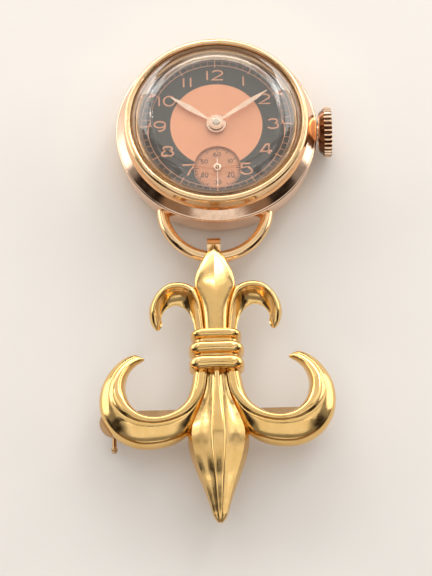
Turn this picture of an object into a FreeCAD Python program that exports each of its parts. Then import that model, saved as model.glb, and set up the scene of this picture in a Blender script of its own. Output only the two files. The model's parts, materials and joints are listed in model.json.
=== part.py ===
import FreeCAD, Part
import math
import os

# Fob watch on a fleur-de-lis brooch.  Millimetres.  The origin is the centre of
# the watch on its flat back; +Z leaves the dial, +Y points to twelve, +X to the crown.

V = FreeCAD.Vector

# ---------------------------------------------------------------- driving sizes
CASE_R = 13.5
CASE_WIDEST_Z = 5.23
SEAM_R = 12.35
SEAM_Z = 6.4
CASE_BORE_R = 11.6
SNAP_Z = 2.0
BACK_FLAT_R = 10.0
SKIN = 0.5
RIM_TOP_Z = 6.7
CRYSTAL_R = 11.35
CRYSTAL_EDGE_Z = 8.6
CRYSTAL_TOP_Z = 10.15
CRYSTAL_THICK = 0.45

DIAL_R = 11.4
DIAL_Z = (6.3, 6.7)
SUBDIAL_R = 3.15
PLATE_R = 10.9
PLATE_Z = (4.9, 6.3)
MOTION_FLOOR_Z = 5.5
BRIDGE_Z = (1.9, 2.7)
RECESS_Z = 2.45
SCREW_R = 0.25
SCREW_HEAD_R = 0.5
PIVOT_R = 0.12
JEWEL_R = 0.45
FIT = 0.03

STEM_Z = 4.0
STEM_R = 0.42
CROWN_R = 3.4
CROWN_X = (13.6, 15.5)
CROWN_TEETH = 32

BOW_TURN = -2.4
BOW_WIRE_R = 0.8
BOW_ARC_R = 6.95
BOW_ARC_Y = -10.8
BOW_Z = 3.3

# Wheel centres, (x, y).  The fourth wheel carries the seconds hand.
BARREL_AT = (2.56, 4.50)
CENTRE_AT = (0.0, 0.0)
THIRD_AT = (1.719, -3.3665)
FOURTH_AT = (0.0, -6.3)
ESCAPE_AT = (-2.50, -4.86)
PALLET_AT = (-4.015, -3.116)
BALANCE_AT = (-5.92, -0.93)
MINUTE_WHEEL_AT = (2.5, 0.0)
SETTING_WHEEL_AT = (5.21, 0.0)
CROWN_WHEEL_AT = (5.9, 0.0)
LEVER_AT = (9.75, -2.6)
YOKE_AT = (7.1, 2.6)
CLICK_AT = (-1.15, 6.9)

# Teeth and module of each wheel.
BARREL_GEAR = (80, 0.115)
CENTRE_PINION = (10, 0.115)
CENTRE_GEAR = (64, 0.105)
THIRD_PINION = (8, 0.105)
THIRD_GEAR = (60, 0.10)
FOURTH_PINION = (8, 0.10)
FOURTH_GEAR = (70, 0.075)
ESCAPE_PINION = (7, 0.075)
CANNON_GEAR = (12, 5.0 / 48.0)
MINUTE_GEAR = (36, 5.0 / 48.0)
MINUTE_PINION = (10, 0.10)
HOUR_GEAR = (40, 0.10)
SETTING_GEAR = (16, 5.0 / 48.0)
RATCHET_GEAR = (30, 0.20)
CROWN_GEAR = (26, 0.20)
WINDING_GEAR = (17, 0.20)
ESCAPE_TEETH = 15
ESCAPE_R = 1.95

# Bridge feet and their screws, (x, y, foot radius).
BARREL_FEET = [(-1.6, 9.55, 0.7), (9.0, 3.6, 0.7), (8.6, -2.65, 0.45)]
TRAIN_FEET = [(6.2, -6.6, 0.7), (-1.2, -9.6, 0.6)]
COCK_FOOT = (-6.5, 5.0, 1.7)
PALLET_FEET = [(-5.30, -4.23, 0.25), (-6.0, -4.8, 0.25)]

# The hands as they stand at rest, clockwise degrees from twelve.
HOUR_ANGLE = 304.5
MINUTE_ANGLE = 56.0
SECONDS_ANGLE = 180.0
HOUR_LENGTH = 7.4
MINUTE_LENGTH = 8.4

# The brooch hangs from the bow.  Its outlines are measured from its own centre line.
HANG_X = (BOW_ARC_R - BOW_ARC_Y) * math.sin(math.radians(BOW_TURN))
HANG_Y = (BOW_ARC_Y - BOW_ARC_R) * math.cos(math.radians(BOW_TURN))
BROOCH_BACK_Z = 4.6
LOOP_R = (1.6, 2.15)
LOOP_SHIFT = (0.5, -0.15)
LOOP_WIDTH = 1.75
COLLAR_Y = (-34.85, -29.3)
COLLAR_HALF = 3.56
COLLAR_TOP_Z = 7.6

PIN_Y = -39.4
PIN_Z = 1.8
PIN_R = 0.35
PIN_HINGE_X = 11.8
PIN_TIP_X = -14.2
FITTING_Z = 4.1
BAR_Y = (-40.6, -39.45)
BAR_X = (-11.45, 10.7)
CATCH_X = (-12.85, -11.95)
CATCH_R = (1.12, 1.7)
CATCH_BASE = (-13.2, -41.0, 1.85)
LEVER_X = -13.3
LEVER_END_Y = -44.05

# Half outlines of the two leaves: (y, half width, edge height, ridge height).
UPPER_LEAF = [
    (-16.6, 0.12, 5.1, 5.4), (-18.1, 1.1, 5.1, 5.9), (-19.75, 1.95, 5.1, 6.3),
    (-21.2, 2.5, 5.15, 6.6), (-22.6, 2.7, 5.2, 6.8), (-23.7, 2.35, 5.2, 6.8),
    (-25.1, 1.95, 5.2, 6.7), (-26.6, 1.68, 5.2, 6.5), (-29.3, 1.45, 5.2, 6.4)]
LOWER_LEAF = [
    (-34.85, 1.3, 5.3, 6.6), (-37.0, 1.6, 5.3, 6.7), (-39.0, 2.25, 5.3, 7.0),
    (-41.0, 3.15, 5.35, 7.4), (-42.7, 3.8, 5.4, 7.7), (-44.2, 3.86, 5.4, 7.7),
    (-46.0, 3.5, 5.35, 7.4), (-48.2, 2.75, 5.25, 6.9), (-50.3, 1.95, 5.1, 6.3),
    (-52.2, 1.32, 5.0, 5.9), (-53.8, 0.85, 4.9, 5.5), (-54.6, 0.25, 4.8, 5.1)]

# The left scrolls as pairs of points: outer edge, inner edge, edge height, ridge height.
SMALL_SCROLL = [
    ((-1.35, -29.3), (-2.6, -29.3), 5.1, 5.9), ((-1.5, -27.6), (-2.85, -27.6), 5.1, 6.1),
    ((-1.6, -26.2), (-3.3, -26.5), 5.1, 6.2), ((-1.9, -24.6), (-3.8, -25.75), 5.1, 6.4),
    ((-2.6, -22.95), (-4.5, -25.25), 5.1, 6.5), ((-4.2, -22.2), (-5.2, -25.1), 5.1, 6.6),
    ((-6.1, -22.35), (-6.1, -25.4), 5.1, 6.6), ((-7.55, -23.5), (-6.75, -26.1), 5.1, 6.5),
    ((-8.4, -25.0), (-7.0, -26.8), 5.0, 6.2), ((-8.6, -26.3), (-6.95, -27.4), 5.0, 5.9),
    ((-8.3, -27.7), (-7.0, -28.05), 4.9, 5.4), ((-7.65, -28.6), (-7.3, -28.5), 4.8, 4.95)]
LARGE_SCROLL = [
    ((-1.2, -34.85), (-3.0, -34.85), 5.2, 6.4), ((-1.5, -37.6), (-3.5, -37.1), 5.2, 6.5),
    ((-2.4, -40.4), (-4.3, -38.8), 5.2, 6.7), ((-3.6, -42.7), (-5.5, -39.9), 5.2, 6.9),
    ((-5.7, -44.15), (-6.9, -40.6), 5.2, 7.1), ((-8.2, -44.7), (-8.3, -40.75), 5.2, 7.2),
    ((-10.6, -44.5), (-9.75, -40.2), 5.2, 7.2), ((-12.9, -43.25), (-10.9, -39.0), 5.2, 7.1),
    ((-14.4, -41.3), (-11.5, -37.6), 5.2, 6.9), ((-15.05, -38.9), (-11.7, -36.3), 5.1, 6.7),
    ((-14.75, -36.3), (-11.5, -35.1), 5.1, 6.4), ((-13.6, -34.1), (-11.0, -34.05), 5.0, 6.0),
    ((-12.1, -32.6), (-10.3, -33.3), 5.0, 5.6), ((-10.6, -31.95), (-9.75, -32.95), 4.9, 5.3),
    ((-9.45, -32.35), (-9.25, -32.6), 4.8, 4.95)]


# ---------------------------------------------------------------- plain solids
def disc(radius, z0, z1, at=(0.0, 0.0)):
    return Part.makeCylinder(radius, z1 - z0, V(at[0], at[1], z0))


def tube(outer, inner, z0, z1, at=(0.0, 0.0)):
    return disc(outer, z0, z1, at).cut(disc(inner, z0, z1, at))


def rod_x(radius, x0, x1, y, z):
    return Part.makeCylinder(radius, x1 - x0, V(x0, y, z), V(1, 0, 0))


def rod_y(radius, y0, y1, x, z):
    return Part.makeCylinder(radius, y1 - y0, V(x, y0, z), V(0, 1, 0))


def block(x, y, z):
    return Part.makeBox(x[1] - x[0], y[1] - y[0], z[1] - z[0], V(x[0], y[0], z[0]))


def slab(points, z0, z1):
    corners = [V(x, y, z0) for x, y in points]
    face = Part.Face(Part.makePolygon(corners + corners[:1]))
    return face.extrude(V(0, 0, z1 - z0))


def tapered_bar(a, b, ra, rb, z0, z1):
    """Hull of two circles, extruded."""
    angle = math.atan2(b[1] - a[1], b[0] - a[0])
    span = math.hypot(b[0] - a[0], b[1] - a[1])
    lean = math.acos((ra - rb) / span)
    sides = [(a, ra, lean), (b, rb, lean), (b, rb, -lean), (a, ra, -lean)]
    quad = [(p[0] + r * math.cos(angle + t), p[1] + r * math.sin(angle + t)) for p, r, t in sides]
    return fuse([slab(quad, z0, z1), disc(ra, z0, z1, a), disc(rb, z0, z1, b)])


def fuse(shapes):
    body = shapes[0]
    for shape in shapes[1:]:
        body = body.fuse(shape)
    return body.removeSplitter()


def cut(body, tools):
    for tool in tools:
        body = body.cut(tool)
    return body


def turned(start, steps):
    """Solid of revolution about Z.  A step is (r, z), or ((mid r, z), (end r, z)) for an arc."""
    edges = []
    here = V(start[0], 0, start[1])
    for step in steps + [start]:
        if isinstance(step[0], tuple):
            middle = V(step[0][0], 0, step[0][1])
            there = V(step[1][0], 0, step[1][1])
            edges.append(Part.Arc(here, middle, there).toShape())
        else:
            there = V(step[0], 0, step[1])
            edges.append(Part.LineSegment(here, there).toShape())
        here = there
    return Part.Face(Part.Wire(edges)).revolve(V(0, 0, 0), V(0, 0, 1), 360)


def moved(shape, x, y, z=0.0):
    copy = shape.copy()
    copy.translate(V(x, y, z))
    return copy


def spun(shape, degrees, about=(0.0, 0.0)):
    copy = shape.copy()
    copy.rotate(V(about[0], about[1], 0), V(0, 0, 1), degrees)
    return copy


def mirrored(shape):
    return shape.mirror(V(0, 0, 0), V(1, 0, 0))


def polar(at, radius, degrees):
    turn = math.radians(degrees)
    return (at[0] + radius * math.cos(turn), at[1] + radius * math.sin(turn))


# ---------------------------------------------------------------- gears
def gear_points(gear, phase, outward=0.8, inward=1.15):
    """Flat-flanked teeth, thinned for backlash, with a tooth at the angle phase."""
    teeth, module = gear
    pitch_r = teeth * module / 2.0
    pitch = 360.0 / teeth
    corners = [(-0.30, -inward), (-0.11, outward), (0.11, outward), (0.30, -inward)]
    points = []
    for tooth in range(teeth):
        for share, height in corners:
            points.append(polar((0, 0), pitch_r + height * module, phase + (tooth + share) * pitch))
    return points


def gear_blank(gear, z0, z1, at, phase=0.0, outward=0.8, inward=1.15):
    return moved(slab(gear_points(gear, phase, outward, inward), z0, z1), at[0], at[1])


def mesh_phase(phase_a, gear_a, at_a, gear_b, at_b):
    """Phase that puts a gap of gear b where gear a has a tooth."""
    line = math.degrees(math.atan2(at_b[1] - at_a[1], at_b[0] - at_a[0]))
    offset = (phase_a - line) * gear_a[0] / 360.0
    return line + 180.0 + (0.5 - offset) * 360.0 / gear_b[0]


def crossed_out(wheel, at, hub_r, rim_r, spokes, width, z0, z1, phase=0.0):
    """Cuts the wheel's web away and leaves its spokes."""
    window = tube(rim_r, hub_r, z0, z1, at)
    for index in range(spokes):
        spoke = block((0, rim_r + 0.2), (-width / 2.0, width / 2.0), (z0, z1))
        spoke = moved(spun(spoke, phase + index * 360.0 / spokes), at[0], at[1])
        window = window.cut(spoke)
    return wheel.cut(window)


def arbor(at, ends, radius, shoulders=(2.78, 4.86)):
    """A turned shaft with a thinner pivot beyond each shoulder."""
    return fuse([disc(PIVOT_R, *ends, at), disc(radius, *shoulders, at)])


# ---------------------------------------------------------------- case
def case_outer():
    return turned((0, SNAP_Z), [
        (13.2, SNAP_Z), ((13.42, 3.6), (CASE_R, CASE_WIDEST_Z - 0.15)),
        ((CASE_R - 0.05, CASE_WIDEST_Z + 0.1), (CASE_R - 0.25, CASE_WIDEST_Z + 0.25)),
        (SEAM_R, SEAM_Z), (0, SEAM_Z)])


def case_middle():
    shell = case_outer().cut(disc(CASE_BORE_R, SNAP_Z, SEAM_Z))
    rim = tube(CASE_BORE_R + 0.3, CASE_BORE_R, SEAM_Z - 0.2, RIM_TOP_Z)
    ledge = tube(CASE_BORE_R + 0.2, CASE_BORE_R - 0.5, 4.2, 4.6)
    body = fuse([shell, rim, ledge])
    return body.cut(rod_x(1.0, PLATE_R - 0.2, CASE_R + 0.5, 0, STEM_Z))


def case_tube():
    return rod_x(1.0, CASE_BORE_R, 13.95, 0, STEM_Z).cut(rod_x(0.52, 11.0, 14.5, 0, STEM_Z))


def bezel():
    foot_r = CASE_BORE_R + 0.32
    return turned((CRYSTAL_R, 6.75), [
        (CRYSTAL_R, 8.6), ((11.5, 8.8), (11.75, 8.87)), ((12.12, 8.7), (12.27, 8.3)),
        (SEAM_R, SEAM_Z + 0.05), (foot_r, SEAM_Z + 0.05), (foot_r, 6.75)])


def crystal():
    """A high acrylic glass: a nearly flat dome with a steep rounded shoulder."""
    outer_r = CRYSTAL_R - 0.02
    inner_r = outer_r - 0.7
    shoulder = (9.7, 9.7)
    crown_r = 1.0
    middle = (5.4, 10.02)
    thick = CRYSTAL_THICK
    return turned((outer_r, 6.78), [
        (outer_r, CRYSTAL_EDGE_Z), ((10.9, 9.28), shoulder), (middle, (crown_r, CRYSTAL_TOP_Z)),
        (0, CRYSTAL_TOP_Z), (0, CRYSTAL_TOP_Z - thick), (crown_r, CRYSTAL_TOP_Z - thick),
        ((middle[0], middle[1] - thick), (shoulder[0] - 0.25, shoulder[1] - thick)),
        ((10.3, 8.85), (inner_r, CRYSTAL_EDGE_Z - 0.2)), (inner_r, 6.78)])


def case_back():
    return turned((0, 0), [
        (BACK_FLAT_R, 0), ((12.15, 0.7), (13.2, SNAP_Z)), (CASE_BORE_R, SNAP_Z),
        (CASE_BORE_R, 2.7), (CASE_BORE_R - 0.4, 2.7), (CASE_BORE_R - 0.4, 1.7),
        ((11.0, 0.95), (9.8, SKIN)), (0, SKIN)])


def bow():
    ring = Part.makeTorus(BOW_ARC_R, BOW_WIRE_R, V(0, BOW_ARC_Y, BOW_Z))
    below = block((-9, 9), (-19, BOW_ARC_Y - 0.4), (2, 5))
    return spun(ring.common(below), BOW_TURN).cut(case_outer())


def movement_ring():
    return tube(CASE_BORE_R - 0.03, PLATE_R + 0.02, 4.6, PLATE_Z[1])


# ---------------------------------------------------------------- dial and hands
def dial():
    plate = disc(DIAL_R, *DIAL_Z)
    return cut(plate, [disc(0.95, *DIAL_Z), disc(SUBDIAL_R, DIAL_Z[0], DIAL_Z[1], FOURTH_AT)])


def seconds_dial():
    return tube(SUBDIAL_R, 0.25, DIAL_Z[0], DIAL_Z[0] + 0.2, FOURTH_AT)


def leaf_hand(length, start, wide, z0, z1, angle):
    """A pointed leaf lying along +Y, turned clockwise by angle."""
    outline = [(0.16, start), (0.2, start + 0.9), (wide, length * 0.55), (wide * 0.75, length * 0.75),
               (0.03, length)]
    right = outline
    left = [(-x, y) for x, y in reversed(outline)]
    return spun(slab(right + left, z0, z1), -angle)


def hour_hand():
    blade = leaf_hand(HOUR_LENGTH, 1.0, 0.42, 7.02, 7.14, HOUR_ANGLE)
    return fuse([blade, disc(1.3, 7.0, 7.16)]).cut(disc(0.85, 6.9, 7.3))


def minute_hand():
    blade = leaf_hand(MINUTE_LENGTH, 0.75, 0.38, 7.42, 7.54, MINUTE_ANGLE)
    boss = disc(0.98, 7.4, 7.58).fuse(disc(0.8, 7.58, 7.72))
    return fuse([blade, boss]).cut(disc(0.55, 7.3, 7.8))


def seconds_hand():
    z0, z1 = 6.66, 6.72
    blade = slab([(-0.08, -1.3), (0.08, -1.3), (0.05, 2.75), (-0.05, 2.75)], z0, z1)
    hub = disc(0.75, z0 - 0.04, z1 + 0.08)
    hand = spun(fuse([blade, hub]), -SECONDS_ANGLE)
    return moved(hand, *FOURTH_AT).cut(disc(PIVOT_R, 6.5, 7.0, FOURTH_AT))


# ---------------------------------------------------------------- movement frame
def main_plate():
    z0, z1 = PLATE_Z
    plate = disc(PLATE_R, z0, z1)
    pocket = tapered_bar(CENTRE_AT, SETTING_WHEEL_AT, 2.35, 1.1, MOTION_FLOOR_Z, z1)
    slot = block((6.18, PLATE_R + 1), (-1.95, 1.95), (z0, 5.88))
    pocket_wide = disc(2.25, MOTION_FLOOR_Z, z1, MINUTE_WHEEL_AT)
    holes = [disc(JEWEL_R, z0, z1, at) for at in (THIRD_AT, FOURTH_AT, ESCAPE_AT, PALLET_AT, BALANCE_AT)]
    holes += [disc(0.45, z0, z1, CENTRE_AT), disc(0.55, z0, z1, BARREL_AT)]
    holes += [disc(SCREW_R, z0, z1 - 0.8, foot[:2]) for foot in all_feet()]
    pilot = block((5.55, 6.12), (-0.75, 0.45), (3.4, z0 + 0.1))
    body = cut(plate, [pocket, slot, pocket_wide] + holes).fuse(pilot)
    return body.cut(rod_x(0.3, 5.0, 6.5, 0, STEM_Z))


def all_feet():
    return BARREL_FEET + TRAIN_FEET + [COCK_FOOT] + PALLET_FEET


def footed(plate, feet, top_z):
    posts = [disc(r, BRIDGE_Z[0], top_z, (x, y)) for x, y, r in feet]
    holes = [disc(SCREW_R, 0, top_z, (x, y)) for x, y, r in feet]
    return cut(fuse([plate] + posts), holes)


def barrel_bridge():
    z0, z1 = BRIDGE_Z
    outline = [(-2.7, 11), (-2.7, 1.0), (1.4, 1.0), (3.0, -3.2), (11, -3.2), (11, 11)]
    plate = slab(outline, z0, z1).common(disc(PLATE_R - 0.1, z0, z1))
    plate = footed(plate, BARREL_FEET, PLATE_Z[0])
    recess = [disc(3.3, 0, RECESS_Z, BARREL_AT), disc(2.9, 0, RECESS_Z, CROWN_WHEEL_AT),
              tapered_bar(CLICK_AT, BARREL_AT, 1.15, 2.0, 0, RECESS_Z)]
    slot = block((8.0, 11), (-2.0, 2.0), (0, z1))
    return cut(plate, recess + [slot, disc(0.55, 0, z1, BARREL_AT), disc(0.3, 0, z1, CROWN_WHEEL_AT)])


def train_bridge():
    z0, z1 = BRIDGE_Z
    outline = [(-2.3, 0.8), (1.2, 0.8), (2.8, -3.4), (10, -3.4), (10, -11), (-3.6, -11), (-3.6, -4.4),
               (-2.3, -1.8)]
    plate = slab(outline, z0, z1).common(disc(PLATE_R - 0.1, z0, z1))
    holes = [disc(JEWEL_R, 0, z1, at) for at in (CENTRE_AT, THIRD_AT, FOURTH_AT, ESCAPE_AT)]
    return cut(footed(plate, TRAIN_FEET, PLATE_Z[0]), holes)


def balance_cock():
    plate = tapered_bar(COCK_FOOT[:2], BALANCE_AT, 1.8, 0.9, 1.7, 2.4)
    post = disc(COCK_FOOT[2], 1.7, PLATE_Z[0], COCK_FOOT[:2])
    spring_stud = disc(0.16, 2.3, 2.7, polar(BALANCE_AT, 2.2, 95))
    return cut(fuse([plate, post, spring_stud]), [disc(SCREW_R, 0, 5, COCK_FOOT[:2]), disc(JEWEL_R, 0, 3, BALANCE_AT)])


def pallet_cock():
    z0, z1 = 3.3, 3.5
    arm = tapered_bar(PALLET_FEET[1][:2], PALLET_AT, 0.45, 0.35, z0, z1)
    posts = [disc(r, z0, PLATE_Z[0], (x, y)) for x, y, r in PALLET_FEET]
    holes = [disc(0.12, 0, 5, (x, y)) for x, y, r in PALLET_FEET]
    return cut(fuse([arm] + posts), holes + [disc(PIVOT_R + FIT, z0, z1, PALLET_AT)])


def screw(at, seat_z, length, shank_r=SCREW_R, head_r=SCREW_HEAD_R, head=0.3):
    top_z = seat_z - head
    body = fuse([disc(head_r, top_z, seat_z, at), disc(shank_r, seat_z - 0.05, seat_z + length, at)])
    slot = block((at[0] - head_r, at[0] + head_r), (at[1] - 0.07, at[1] + 0.07), (top_z, top_z + head * 0.4))
    return body.cut(slot)


def bridge_screws():
    screws = [screw(foot[:2], BRIDGE_Z[0], 3.5) for foot in BARREL_FEET + TRAIN_FEET]
    screws.append(screw(COCK_FOOT[:2], 1.7, 3.7))
    screws += [screw(foot[:2], 3.3, 1.5, 0.12, 0.22, 0.1) for foot in PALLET_FEET]
    screws.append(screw(CROWN_WHEEL_AT, RECESS_Z - 0.55, 0.75, 0.3, 0.9))
    return Part.makeCompound(screws)


def jewels():
    z0, z1 = BRIDGE_Z
    stones = [(at, z0, z1) for at in (CENTRE_AT, THIRD_AT, FOURTH_AT, ESCAPE_AT)]
    stones += [(at, *PLATE_Z) for at in (THIRD_AT, FOURTH_AT, ESCAPE_AT, PALLET_AT, BALANCE_AT)]
    stones.append((BALANCE_AT, 1.7, 2.4))
    return Part.makeCompound([tube(JEWEL_R, PIVOT_R + FIT, low, high, at) for at, low, high in stones])


# ---------------------------------------------------------------- mainspring
def mainspring_barrel():
    drum = disc(4.25, 2.95, 4.4, BARREL_AT)
    rim = gear_blank(BARREL_GEAR, 3.95, 4.35, BARREL_AT)
    return cut(drum.fuse(rim), [disc(3.95, 2.95, 4.15, BARREL_AT), disc(0.5, 4.1, 4.5, BARREL_AT)])


def barrel_cover():
    return tube(4.2, 0.5, 2.75, 2.95, BARREL_AT)


def barrel_arbor():
    core = disc(0.9, 3.0, 4.1, BARREL_AT)
    shaft = disc(0.46, 1.95, 5.6, BARREL_AT)
    return fuse([core, shaft])


def spiral(at, r0, r1, turns, thick, z0, z1):
    """A flat spiral strip, its coils evenly spaced."""
    steps = int(turns * 24)
    ends = [polar(at, r0 + (r1 - r0) * i / steps, turns * 360.0 * i / steps) for i in range(steps + 1)]
    rims = [polar(at, r0 + thick + (r1 - r0) * i / steps, turns * 360.0 * i / steps) for i in range(steps + 1)]
    return slab(ends + rims[::-1], z0, z1)


def mainspring():
    return spiral(BARREL_AT, 1.0, 3.82, 8, 0.11, 3.02, 4.1)


def ratchet_wheel():
    wheel = gear_blank(RATCHET_GEAR, 1.95, 2.4, BARREL_AT, RATCHET_PHASE)
    cap = disc(0.8, 1.7, 1.95, BARREL_AT)
    return fuse([wheel, cap]).cut(disc(0.46, 1.95, 2.4, BARREL_AT))


def crown_wheel():
    wheel = gear_blank(CROWN_GEAR, 1.95, 2.35, CROWN_WHEEL_AT)
    return cut(wheel, [disc(0.33, 0, 3, CROWN_WHEEL_AT), disc(0.95, 0, 2.15, CROWN_WHEEL_AT)])


def click():
    body = tapered_bar(CLICK_AT, polar(CLICK_AT, 1.15, -30), 0.5, 0.12, 1.98, 2.35)
    tail = tapered_bar(CLICK_AT, polar(CLICK_AT, 0.9, 120), 0.3, 0.12, 1.98, 2.35)
    return fuse([body, tail]).cut(disc(0.23, 0, 3, CLICK_AT))


def click_spring():
    root = (CLICK_AT[0] - 1.1, CLICK_AT[1] + 2.4)
    tip = polar(CLICK_AT, 1.15, 128)
    bend = (root[0] - 0.1, (root[1] + tip[1]) / 2)
    return fuse([tapered_bar(root, bend, 0.2, 0.1, 1.7, 1.9), tapered_bar(bend, tip, 0.1, 0.07, 1.7, 1.9)])


# ---------------------------------------------------------------- going train
CENTRE_PINION_PHASE = mesh_phase(0.0, BARREL_GEAR, BARREL_AT, CENTRE_PINION, CENTRE_AT)
THIRD_PINION_PHASE = mesh_phase(0.0, CENTRE_GEAR, CENTRE_AT, THIRD_PINION, THIRD_AT)
FOURTH_PINION_PHASE = mesh_phase(0.0, THIRD_GEAR, THIRD_AT, FOURTH_PINION, FOURTH_AT)
ESCAPE_PINION_PHASE = mesh_phase(0.0, FOURTH_GEAR, FOURTH_AT, ESCAPE_PINION, ESCAPE_AT)
MINUTE_GEAR_PHASE = mesh_phase(0.0, CANNON_GEAR, CENTRE_AT, MINUTE_GEAR, MINUTE_WHEEL_AT)
HOUR_GEAR_PHASE = mesh_phase(0.0, MINUTE_PINION, MINUTE_WHEEL_AT, HOUR_GEAR, CENTRE_AT)
SETTING_PHASE = mesh_phase(MINUTE_GEAR_PHASE, MINUTE_GEAR, MINUTE_WHEEL_AT, SETTING_GEAR, SETTING_WHEEL_AT)
RATCHET_PHASE = mesh_phase(0.0, CROWN_GEAR, CROWN_WHEEL_AT, RATCHET_GEAR, BARREL_AT)


def centre_wheel():
    wheel = gear_blank(CENTRE_GEAR, 4.55, 4.75, CENTRE_AT)
    wheel = crossed_out(wheel, CENTRE_AT, 0.9, 2.75, 5, 0.4, 4.55, 4.75)
    pinion = gear_blank(CENTRE_PINION, 3.85, 4.56, CENTRE_AT, CENTRE_PINION_PHASE)
    shaft = [disc(PIVOT_R, 1.95, 3.0, CENTRE_AT), disc(0.35, 2.75, 7.5, CENTRE_AT)]
    return fuse([wheel, pinion] + shaft)


def third_wheel():
    wheel = gear_blank(THIRD_GEAR, 3.9, 4.1, THIRD_AT)
    wheel = crossed_out(wheel, THIRD_AT, 0.7, 2.45, 4, 0.35, 3.9, 4.1)
    pinion = gear_blank(THIRD_PINION, 4.45, 4.85, THIRD_AT, THIRD_PINION_PHASE)
    return fuse([wheel, pinion, arbor(THIRD_AT, (2.0, 6.0), 0.2)])


def fourth_wheel():
    wheel = gear_blank(FOURTH_GEAR, 4.4, 4.52, FOURTH_AT)
    wheel = crossed_out(wheel, FOURTH_AT, 0.6, 2.2, 4, 0.3, 4.4, 4.52)
    pinion = gear_blank(FOURTH_PINION, 3.8, 4.2, FOURTH_AT, FOURTH_PINION_PHASE)
    return fuse([wheel, pinion, arbor(FOURTH_AT, (2.0, 6.85), 0.18)])


def escape_wheel():
    tooth = [(1.35, -0.16), (ESCAPE_R, 0.1), (ESCAPE_R - 0.02, 0.16), (1.4, 0.12)]
    parts = [tube(1.5, 1.2, 3.6, 3.75), disc(0.45, 3.6, 3.75)]
    for index in range(4):
        parts.append(spun(block((0.3, 1.3), (-0.12, 0.12), (3.6, 3.75)), index * 90.0))
    for index in range(ESCAPE_TEETH):
        parts.append(spun(slab(tooth, 3.6, 3.75), index * 360.0 / ESCAPE_TEETH))
    wheel = moved(fuse(parts), *ESCAPE_AT)
    pinion = gear_blank(ESCAPE_PINION, 4.3, 4.7, ESCAPE_AT, ESCAPE_PINION_PHASE)
    return fuse([wheel, pinion, arbor(ESCAPE_AT, (2.0, 6.0), 0.16)])


# ---------------------------------------------------------------- escapement and balance
LEVER_LINE = math.degrees(math.atan2(PALLET_AT[1] - BALANCE_AT[1], PALLET_AT[0] - BALANCE_AT[0]))


def pallet_point(along, across):
    """A point from the pallet arbor: along the line to the balance, and across it."""
    return polar(polar(PALLET_AT, along, LEVER_LINE + 180.0), across, LEVER_LINE + 90.0)


def pallet_stones():
    """Two straight stones that stop just outside the circle of the escape wheel's teeth."""
    stones = []
    for side in (-1, 1):
        root = pallet_point(-0.3, side * 1.2)
        reach = math.degrees(math.atan2(ESCAPE_AT[1] - root[1], ESCAPE_AT[0] - root[0]))
        span = math.hypot(ESCAPE_AT[0] - root[0], ESCAPE_AT[1] - root[1]) - ESCAPE_R - 0.14
        stone = slab([(0.1, -0.08), (span, -0.08), (span, 0.08), (0.1, 0.08)], 3.56, 3.74)
        stones.append(moved(spun(stone, reach), root[0], root[1]))
    return stones


def pallet_fork():
    z0, z1 = 3.56, 3.74
    stem = tapered_bar(PALLET_AT, pallet_point(1.75, 0), 0.22, 0.1, z0, z1)
    parts = [stem, disc(0.3, z0, z1, PALLET_AT), arbor(PALLET_AT, (3.32, 6.0), 0.14, (3.53, 4.86))]
    for side in (-1, 1):
        parts.append(tapered_bar(PALLET_AT, pallet_point(-0.3, side * 1.2), 0.2, 0.14, z0, z1))
        parts.append(tapered_bar(pallet_point(1.7, 0), pallet_point(2.05, side * 0.2), 0.08, 0.06, z0, z1))
    return fuse(parts + pallet_stones())


def balance_wheel():
    z0, z1 = 2.85, 3.12
    parts = [tube(3.6, 3.2, z0, z1, BALANCE_AT), disc(0.5, z0, z1, BALANCE_AT)]
    for index in range(3):
        arm = block((0.3, 3.3), (-0.17, 0.17), (z0, z0 + 0.2))
        parts.append(moved(spun(arm, 30 + index * 120.0), *BALANCE_AT))
    return fuse(parts).cut(disc(0.25, z0, z1, BALANCE_AT))


def balance_staff():
    return fuse([disc(PIVOT_R, 1.75, 6.0, BALANCE_AT), disc(0.25, 2.45, 4.8, BALANCE_AT)])


def roller():
    disc_part = tube(0.8, 0.25, 3.2, 3.34, BALANCE_AT)
    pin = disc(0.09, 3.3, 3.74, polar(BALANCE_AT, 0.62, LEVER_LINE))
    return disc_part.fuse(pin)


def hairspring():
    collet = tube(0.45, 0.25, 2.46, 2.72, BALANCE_AT)
    return fuse([collet, spiral(BALANCE_AT, 0.4, 1.9, 9, 0.05, 2.48, 2.66)])


def regulator():
    z0, z1 = 1.48, 1.68
    arm = tapered_bar(BALANCE_AT, polar(BALANCE_AT, 3.0, 60), 0.75, 0.12, z0, z1)
    return arm.cut(disc(0.5, z0, z1, BALANCE_AT))


# ---------------------------------------------------------------- motion work
def cannon_pinion():
    pinion = gear_blank(CANNON_GEAR, 5.55, 5.85, CENTRE_AT)
    cap = turned((0, 7.5), [(0.55, 7.5), (0.55, 7.75), ((0.51, 7.86), (0.4, 7.92)), (0, 7.96)])
    return fuse([pinion.fuse(disc(0.55, 5.85, 7.5)).cut(disc(0.35, 5, 7.5)), cap])


def minute_wheel():
    wheel = gear_blank(MINUTE_GEAR, 5.6, 5.75, MINUTE_WHEEL_AT, MINUTE_GEAR_PHASE)
    pinion = gear_blank(MINUTE_PINION, 5.74, 6.15, MINUTE_WHEEL_AT)
    return fuse([wheel, pinion]).cut(disc(0.23, 5, 7, MINUTE_WHEEL_AT))


def hour_wheel():
    wheel = gear_blank(HOUR_GEAR, 5.92, 6.1, CENTRE_AT, HOUR_GEAR_PHASE)
    return fuse([wheel, disc(0.85, 5.92, 7.25)]).cut(disc(0.6, 5, 8))


def setting_wheel():
    wheel = gear_blank(SETTING_GEAR, 5.6, 5.85, SETTING_WHEEL_AT, SETTING_PHASE)
    return wheel.cut(disc(0.33, 5, 7, SETTING_WHEEL_AT))


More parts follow.
